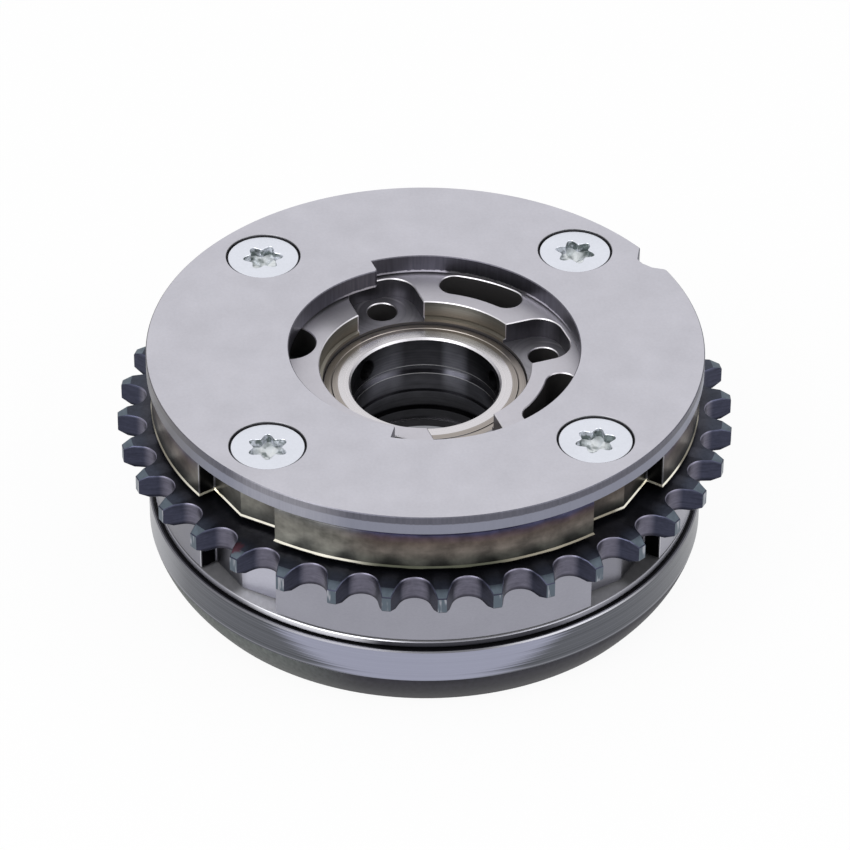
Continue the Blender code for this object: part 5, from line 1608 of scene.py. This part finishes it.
def groove_profile(radius, centre, width, depth):
    """Four profile points, going up, of a square groove cut into a wall at a radius."""
    low = centre - width / 2
    high = centre + width / 2
    return [(radius, low), (radius + depth, low), (radius + depth, high), (radius, high)]


class CAMPHASER_OT_sleeve(Operator):
    """Centre sleeve: a turned oil bush with grooves and ports"""
    bl_idname = "cam_phaser.sleeve"
    bl_label = "Centre Sleeve"

    def execute(self, context):
        looks = context.scene.cam_phaser.sleeve
        rim = Finish("sleeve_rim", roughness=0.26).faced(
            looks.rim_colour, scale=3600.0, contrast=0.28, strength=0.3)
        shoulder = Finish("sleeve_shoulder", roughness=0.32).faced(
            looks.shoulder_colour, scale=3600.0, contrast=0.7, strength=0.5, detail=4.0)
        bore, edge = sleeve_bore(looks), bright_edge()
        inner, outer, top = looks.bore_radius, looks.outer_radius, SLEEVE_TOP
        outside = []
        for height in (UPPER_GALLERY, LOWER_GALLERY):
            outside += reversed(groove_profile(outer, height, looks.outer_groove_width,
                                               -looks.outer_groove_depth))
        inside = groove_profile(inner, LOWER_GALLERY, looks.groove_width, looks.groove_depth)
        inside += groove_profile(inner, looks.line_height, looks.line_width, looks.line_depth)
        inside += groove_profile(inner, UPPER_GALLERY, looks.groove_width, looks.groove_depth)
        line = looks.rim_radius + 0.95 * MM
        line_half, line_depth, corner = 0.1 * MM, 0.12 * MM, 0.15 * MM
        fall = looks.shoulder_drop / (outer - looks.rim_radius)
        line_top = top - fall * (line - looks.rim_radius)
        profile = [(inner + looks.rim_chamfer, top), (looks.rim_radius, top),
                   (line - line_half, line_top), (line, line_top - line_depth),
                   (line + line_half, line_top - fall * line_half),
                   (outer - corner, top - looks.shoulder_drop),
                   (outer, top - looks.shoulder_drop - corner), *outside,
                   (outer, SLEEVE_BASE), (looks.seat_radius, SLEEVE_BASE),
                   (looks.seat_radius, looks.seat_top), (inner, looks.seat_top), *inside,
                   (inner, top - looks.rim_chamfer), (inner + looks.rim_chamfer, top)]
        surfaces = [rim, shoulder, bore, shoulder, shoulder, edge, *[shoulder] * len(outside),
                    shoulder, shoulder, bore, edge, *[bore] * len(inside), bore, edge]
        form = Form()
        form.lathe(profile, surfaces)
        mesh = drilled(form.mesh("sleeve_body"), "sleeve_body", self.ports(looks), bore)
        add_piece("sleeve_body", mesh, "rotor", "sleeve_steel", "centre_sleeve")
        return {"FINISHED"}

    @staticmethod
    def ports(looks):
        """Two rows of radial ports, the upper one wider."""
        start = looks.bore_radius - 2.0 * MM
        end = looks.outer_radius + 1.0 * MM
        phase = math.degrees(looks.port_phase)
        return [(radius, phase + 360 / looks.port_count * i, height, start, end)
                for height, radius in ((looks.port_height, looks.port_radius),
                                       (LOWER_GALLERY, GALLERY_RADIUS))
                for i in range(looks.port_count)]


def coil_tree(surface):
    """Winds a wire up from each point; the rise eases off so that both end turns lie flat."""
    nodes, entry = group("Lock Spring", {
        "Turns": "NodeSocketFloat", "Coil Radius": "NodeSocketFloat",
        "Wire Radius": "NodeSocketFloat", "Length": "NodeSocketFloat"})
    radius = entry.output("Coil Radius")
    wire = entry.output("Wire Radius")
    turns = nodes.node("GeometryNodeCurveSpiral", None,
                       {"Resolution": 28, "Rotations": entry.output("Turns"),
                        "Start Radius": radius, "End Radius": radius, "Height": 0.0})
    along = nodes.node("GeometryNodeSplineParameter")
    eased = along - nodes.math("SINE", along * math.tau) / math.tau
    rise = wire + eased * (entry.output("Length") - wire * 2)
    lift = nodes.node("ShaderNodeCombineXYZ", None, {"Z": rise})
    wound = nodes.node("GeometryNodeSetPosition", None, {"Geometry": turns, "Offset": lift})
    section = nodes.node("GeometryNodeCurvePrimitiveCircle", None,
                         {"Resolution": 12, "Radius": wire})
    coil = nodes.node("GeometryNodeCurveToMesh", None,
                      {"Curve": wound, "Profile Curve": section, "Fill Caps": True})
    return put_on_points(nodes, entry, coil, [surface])


class CAMPHASER_OT_lock(Operator):
    """Lock pin, its bush, spring and plug, and the vane seals with their springs"""
    bl_idname = "cam_phaser.lock"
    bl_label = "Lock and Seals"

    def execute(self, context):
        looks = context.scene.cam_phaser.lock
        hardened = Finish("hardened_steel", roughness=0.3).grained(
            looks.pin_colour, strength=0.2, distance=0.01 * MM)
        wire = Finish("spring_wire", roughness=0.33).grained(looks.spring_colour)
        plastic = Finish("seal_plastic", roughness=0.55, metallic=0.0).grained(
            looks.seal_colour, strength=0.3, mottle=0.08, grain=0.1)
        finishes = {"lock_pin": hardened, "lock_bush": hardened, "vane_seal_spring": wire,
                    "vane_seal": plastic}
        for name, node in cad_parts.items():
            family = name.rstrip("_1234")
            if family in finishes:
                node.data.materials.clear()
                node.data.materials.append(finishes[family])
        radius = looks.plug_radius
        chamfer = looks.plug_chamfer
        form = Form()
        form.lathe([(looks.vent_radius, PLUG_BASE), (radius, PLUG_BASE),
                    (radius, PLUG_TOP - chamfer), (radius - chamfer, PLUG_TOP),
                    (looks.cone_radius, PLUG_TOP),
                    (looks.vent_radius, PLUG_TOP - looks.cone_depth),
                    (looks.vent_radius, PLUG_BASE)],
                   [hardened] * 6, polar(LOCK_CIRCLE, LOCK_ANGLE), HOLE_STEPS)
        add_piece("lock_plug", form.mesh("lock_plug"), "rotor", "turned_steel", "lock_pin_plug")
        self.wind_spring(looks, wire)
        return {"FINISHED"}

    @staticmethod
    def wind_spring(looks, wire):
        """The pin's spring, wound at its rest length from its foot towards the plug."""
        foot = bpy.data.meshes.new("lock_coil_foot")
        foot.from_pydata([polar(LOCK_CIRCLE, LOCK_ANGLE, SPRING_BASE)], [], [])
        rest_length = SPRING_TOP - SPRING_BASE
        coil = grown("lock_coil", foot, coil_tree(wire),
                     {"Turns": looks.coil_turns, "Coil Radius": looks.coil_radius,
                      "Wire Radius": looks.wire_radius, "Length": rest_length})
        spring = add_piece("lock_coil", coil, "rotor", "spring_steel", "lock_spring")
        polar(LOCK_CIRCLE, LOCK_ANGLE, SPRING_TOP)
        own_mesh(spring)


def white_for_viewer(nodes):
    """The share of rays that see plain white: the camera's, and those in metal and glass."""
    path = nodes.node("ShaderNodeLightPath")
    seen = path.output("Is Camera Ray") + path.output("Is Glossy Ray")
    return nodes.math("MINIMUM", seen + path.output("Is Transmission Ray"), 1.0)


class CAMPHASER_OT_stage(Operator):
    """Pale floor, soft studio light and the camera"""
    bl_idname = "cam_phaser.stage"
    bl_label = "Stage"

    def execute(self, context):
        looks = context.scene.cam_phaser.stage
        self.add_floor(looks)
        self.add_world(context, looks)
        self.add_lamp("key_lamp", place=(-0.45, -0.55, 0.75), size=0.6, power=looks.key_power)
        self.add_lamp("fill_lamp", place=(0.6, -0.35, 0.5), size=0.5, power=looks.fill_power)
        self.add_camera(context)
        context.scene.view_settings.view_transform = "Standard"
        return {"FINISHED"}

    @staticmethod
    def add_floor(looks):
        half = looks.floor_size / 2
        mesh = bpy.data.meshes.new("studio_floor")
        mesh.from_pydata([(-half, -half, 0.0), (half, -half, 0.0), (half, half, 0.0),
                          (-half, half, 0.0)], [], [(0, 1, 2, 3)])
        floor = new_object("studio_floor", mesh)
        material = bpy.data.materials.new("floor_paper")
        material.use_nodes = True
        nodes = Nodes(material.node_tree)
        shader = material.node_tree.nodes["Principled BSDF"]
        shader.inputs["Base Color"].default_value = (*looks.floor_colour, 1.0)
        shader.inputs["Roughness"].default_value = 0.9
        white = nodes.node("ShaderNodeEmission", None, {"Color": (1.0, 1.0, 1.0, 1.0)})
        mixed = nodes.node("ShaderNodeMixShader", None,
                           {0: white_for_viewer(nodes) * looks.floor_lift,
                            1: Socket(nodes, shader.outputs[0]), 2: white})
        output = material.node_tree.nodes["Material Output"]
        material.node_tree.links.new(mixed.socket, output.inputs["Surface"])
        mesh.materials.append(material)

    @staticmethod
    def add_world(context, looks):
        world = bpy.data.worlds.new("studio_world")
        world.use_nodes = True
        nodes = Nodes(world.node_tree)
        background = world.node_tree.nodes["Background"]
        background.inputs["Color"].default_value = (1.0, 1.0, 1.0, 1.0)
        seen = white_for_viewer(nodes)
        strength = looks.world_strength + seen * (1.0 - looks.world_strength)
        world.node_tree.links.new(strength.socket, background.inputs["Strength"])
        context.scene.world = world

    @staticmethod
    def add_lamp(name, place, size, power):
        data = bpy.data.lights.new(name, "AREA")
        data.size = size
        data.energy = power
        lamp = new_object(name, data)
        lamp.location = place
        aim = LAMP_TARGET - Vector(place)
        lamp.rotation_euler = aim.to_track_quat("-Z", "Y").to_euler()

    @staticmethod
    def add_camera(context):
        data = bpy.data.cameras.new("photo_camera")
        data.lens = CAMERA_LENS
        data.sensor_width = CAMERA_SENSOR
        data.sensor_fit = "HORIZONTAL"
        camera = new_object("photo_camera", data)
        camera.matrix_world = (
            Matrix.Translation(CAMERA_PLACE)
            @ Matrix.Rotation(math.radians(90.0 - CAMERA_PITCH_DOWN), 4, "X")
            @ Matrix.Rotation(math.radians(CAMERA_ROLL), 4, "Z"))
        context.scene.camera = camera


class CAMPHASER_PT_looks(Panel):
    """Lists the pieces in the 3D view's sidebar"""
    bl_idname = "CAMPHASER_PT_looks"
    bl_label = "Cam Phaser"
    bl_space_type = "VIEW_3D"
    bl_region_type = "UI"
    bl_category = "Cam Phaser"

    def draw(self, context):
        for operator in OPERATORS:
            self.layout.operator(operator.bl_idname)


OPERATORS = (
    CAMPHASER_OT_rear_plate,
    CAMPHASER_OT_stator,
    CAMPHASER_OT_sprocket,
    CAMPHASER_OT_cover,
    CAMPHASER_OT_screws,
    CAMPHASER_OT_rotor,
    CAMPHASER_OT_sleeve,
    CAMPHASER_OT_lock,
    CAMPHASER_OT_stage,
)

CLASSES = (
    StatorLooks, SprocketLooks, CoverLooks, ScrewLooks, RearLooks, RotorLooks, SleeveLooks,
    LockLooks, StageLooks, CamPhaserLooks, *OPERATORS, CAMPHASER_PT_looks)


def register():
    for made in CLASSES:
        bpy.utils.register_class(made)
    bpy.types.Scene.cam_phaser = PointerProperty(
        type=CamPhaserLooks, name="Cam Phaser", description="Looks of the cam phaser")


def unregister():
    del bpy.types.Scene.cam_phaser
    for made in reversed(CLASSES):
        bpy.utils.unregister_class(made)


def main():
    register()
    bpy.ops.cam_phaser.rear_plate()
    bpy.ops.cam_phaser.stator()
    bpy.ops.cam_phaser.sprocket()
    bpy.ops.cam_phaser.cover()
    bpy.ops.cam_phaser.screws()
    bpy.ops.cam_phaser.rotor()
    bpy.ops.cam_phaser.sleeve()
    bpy.ops.cam_phaser.lock()
    bpy.ops.cam_phaser.stage()


if __name__ == "__main__":
    main()
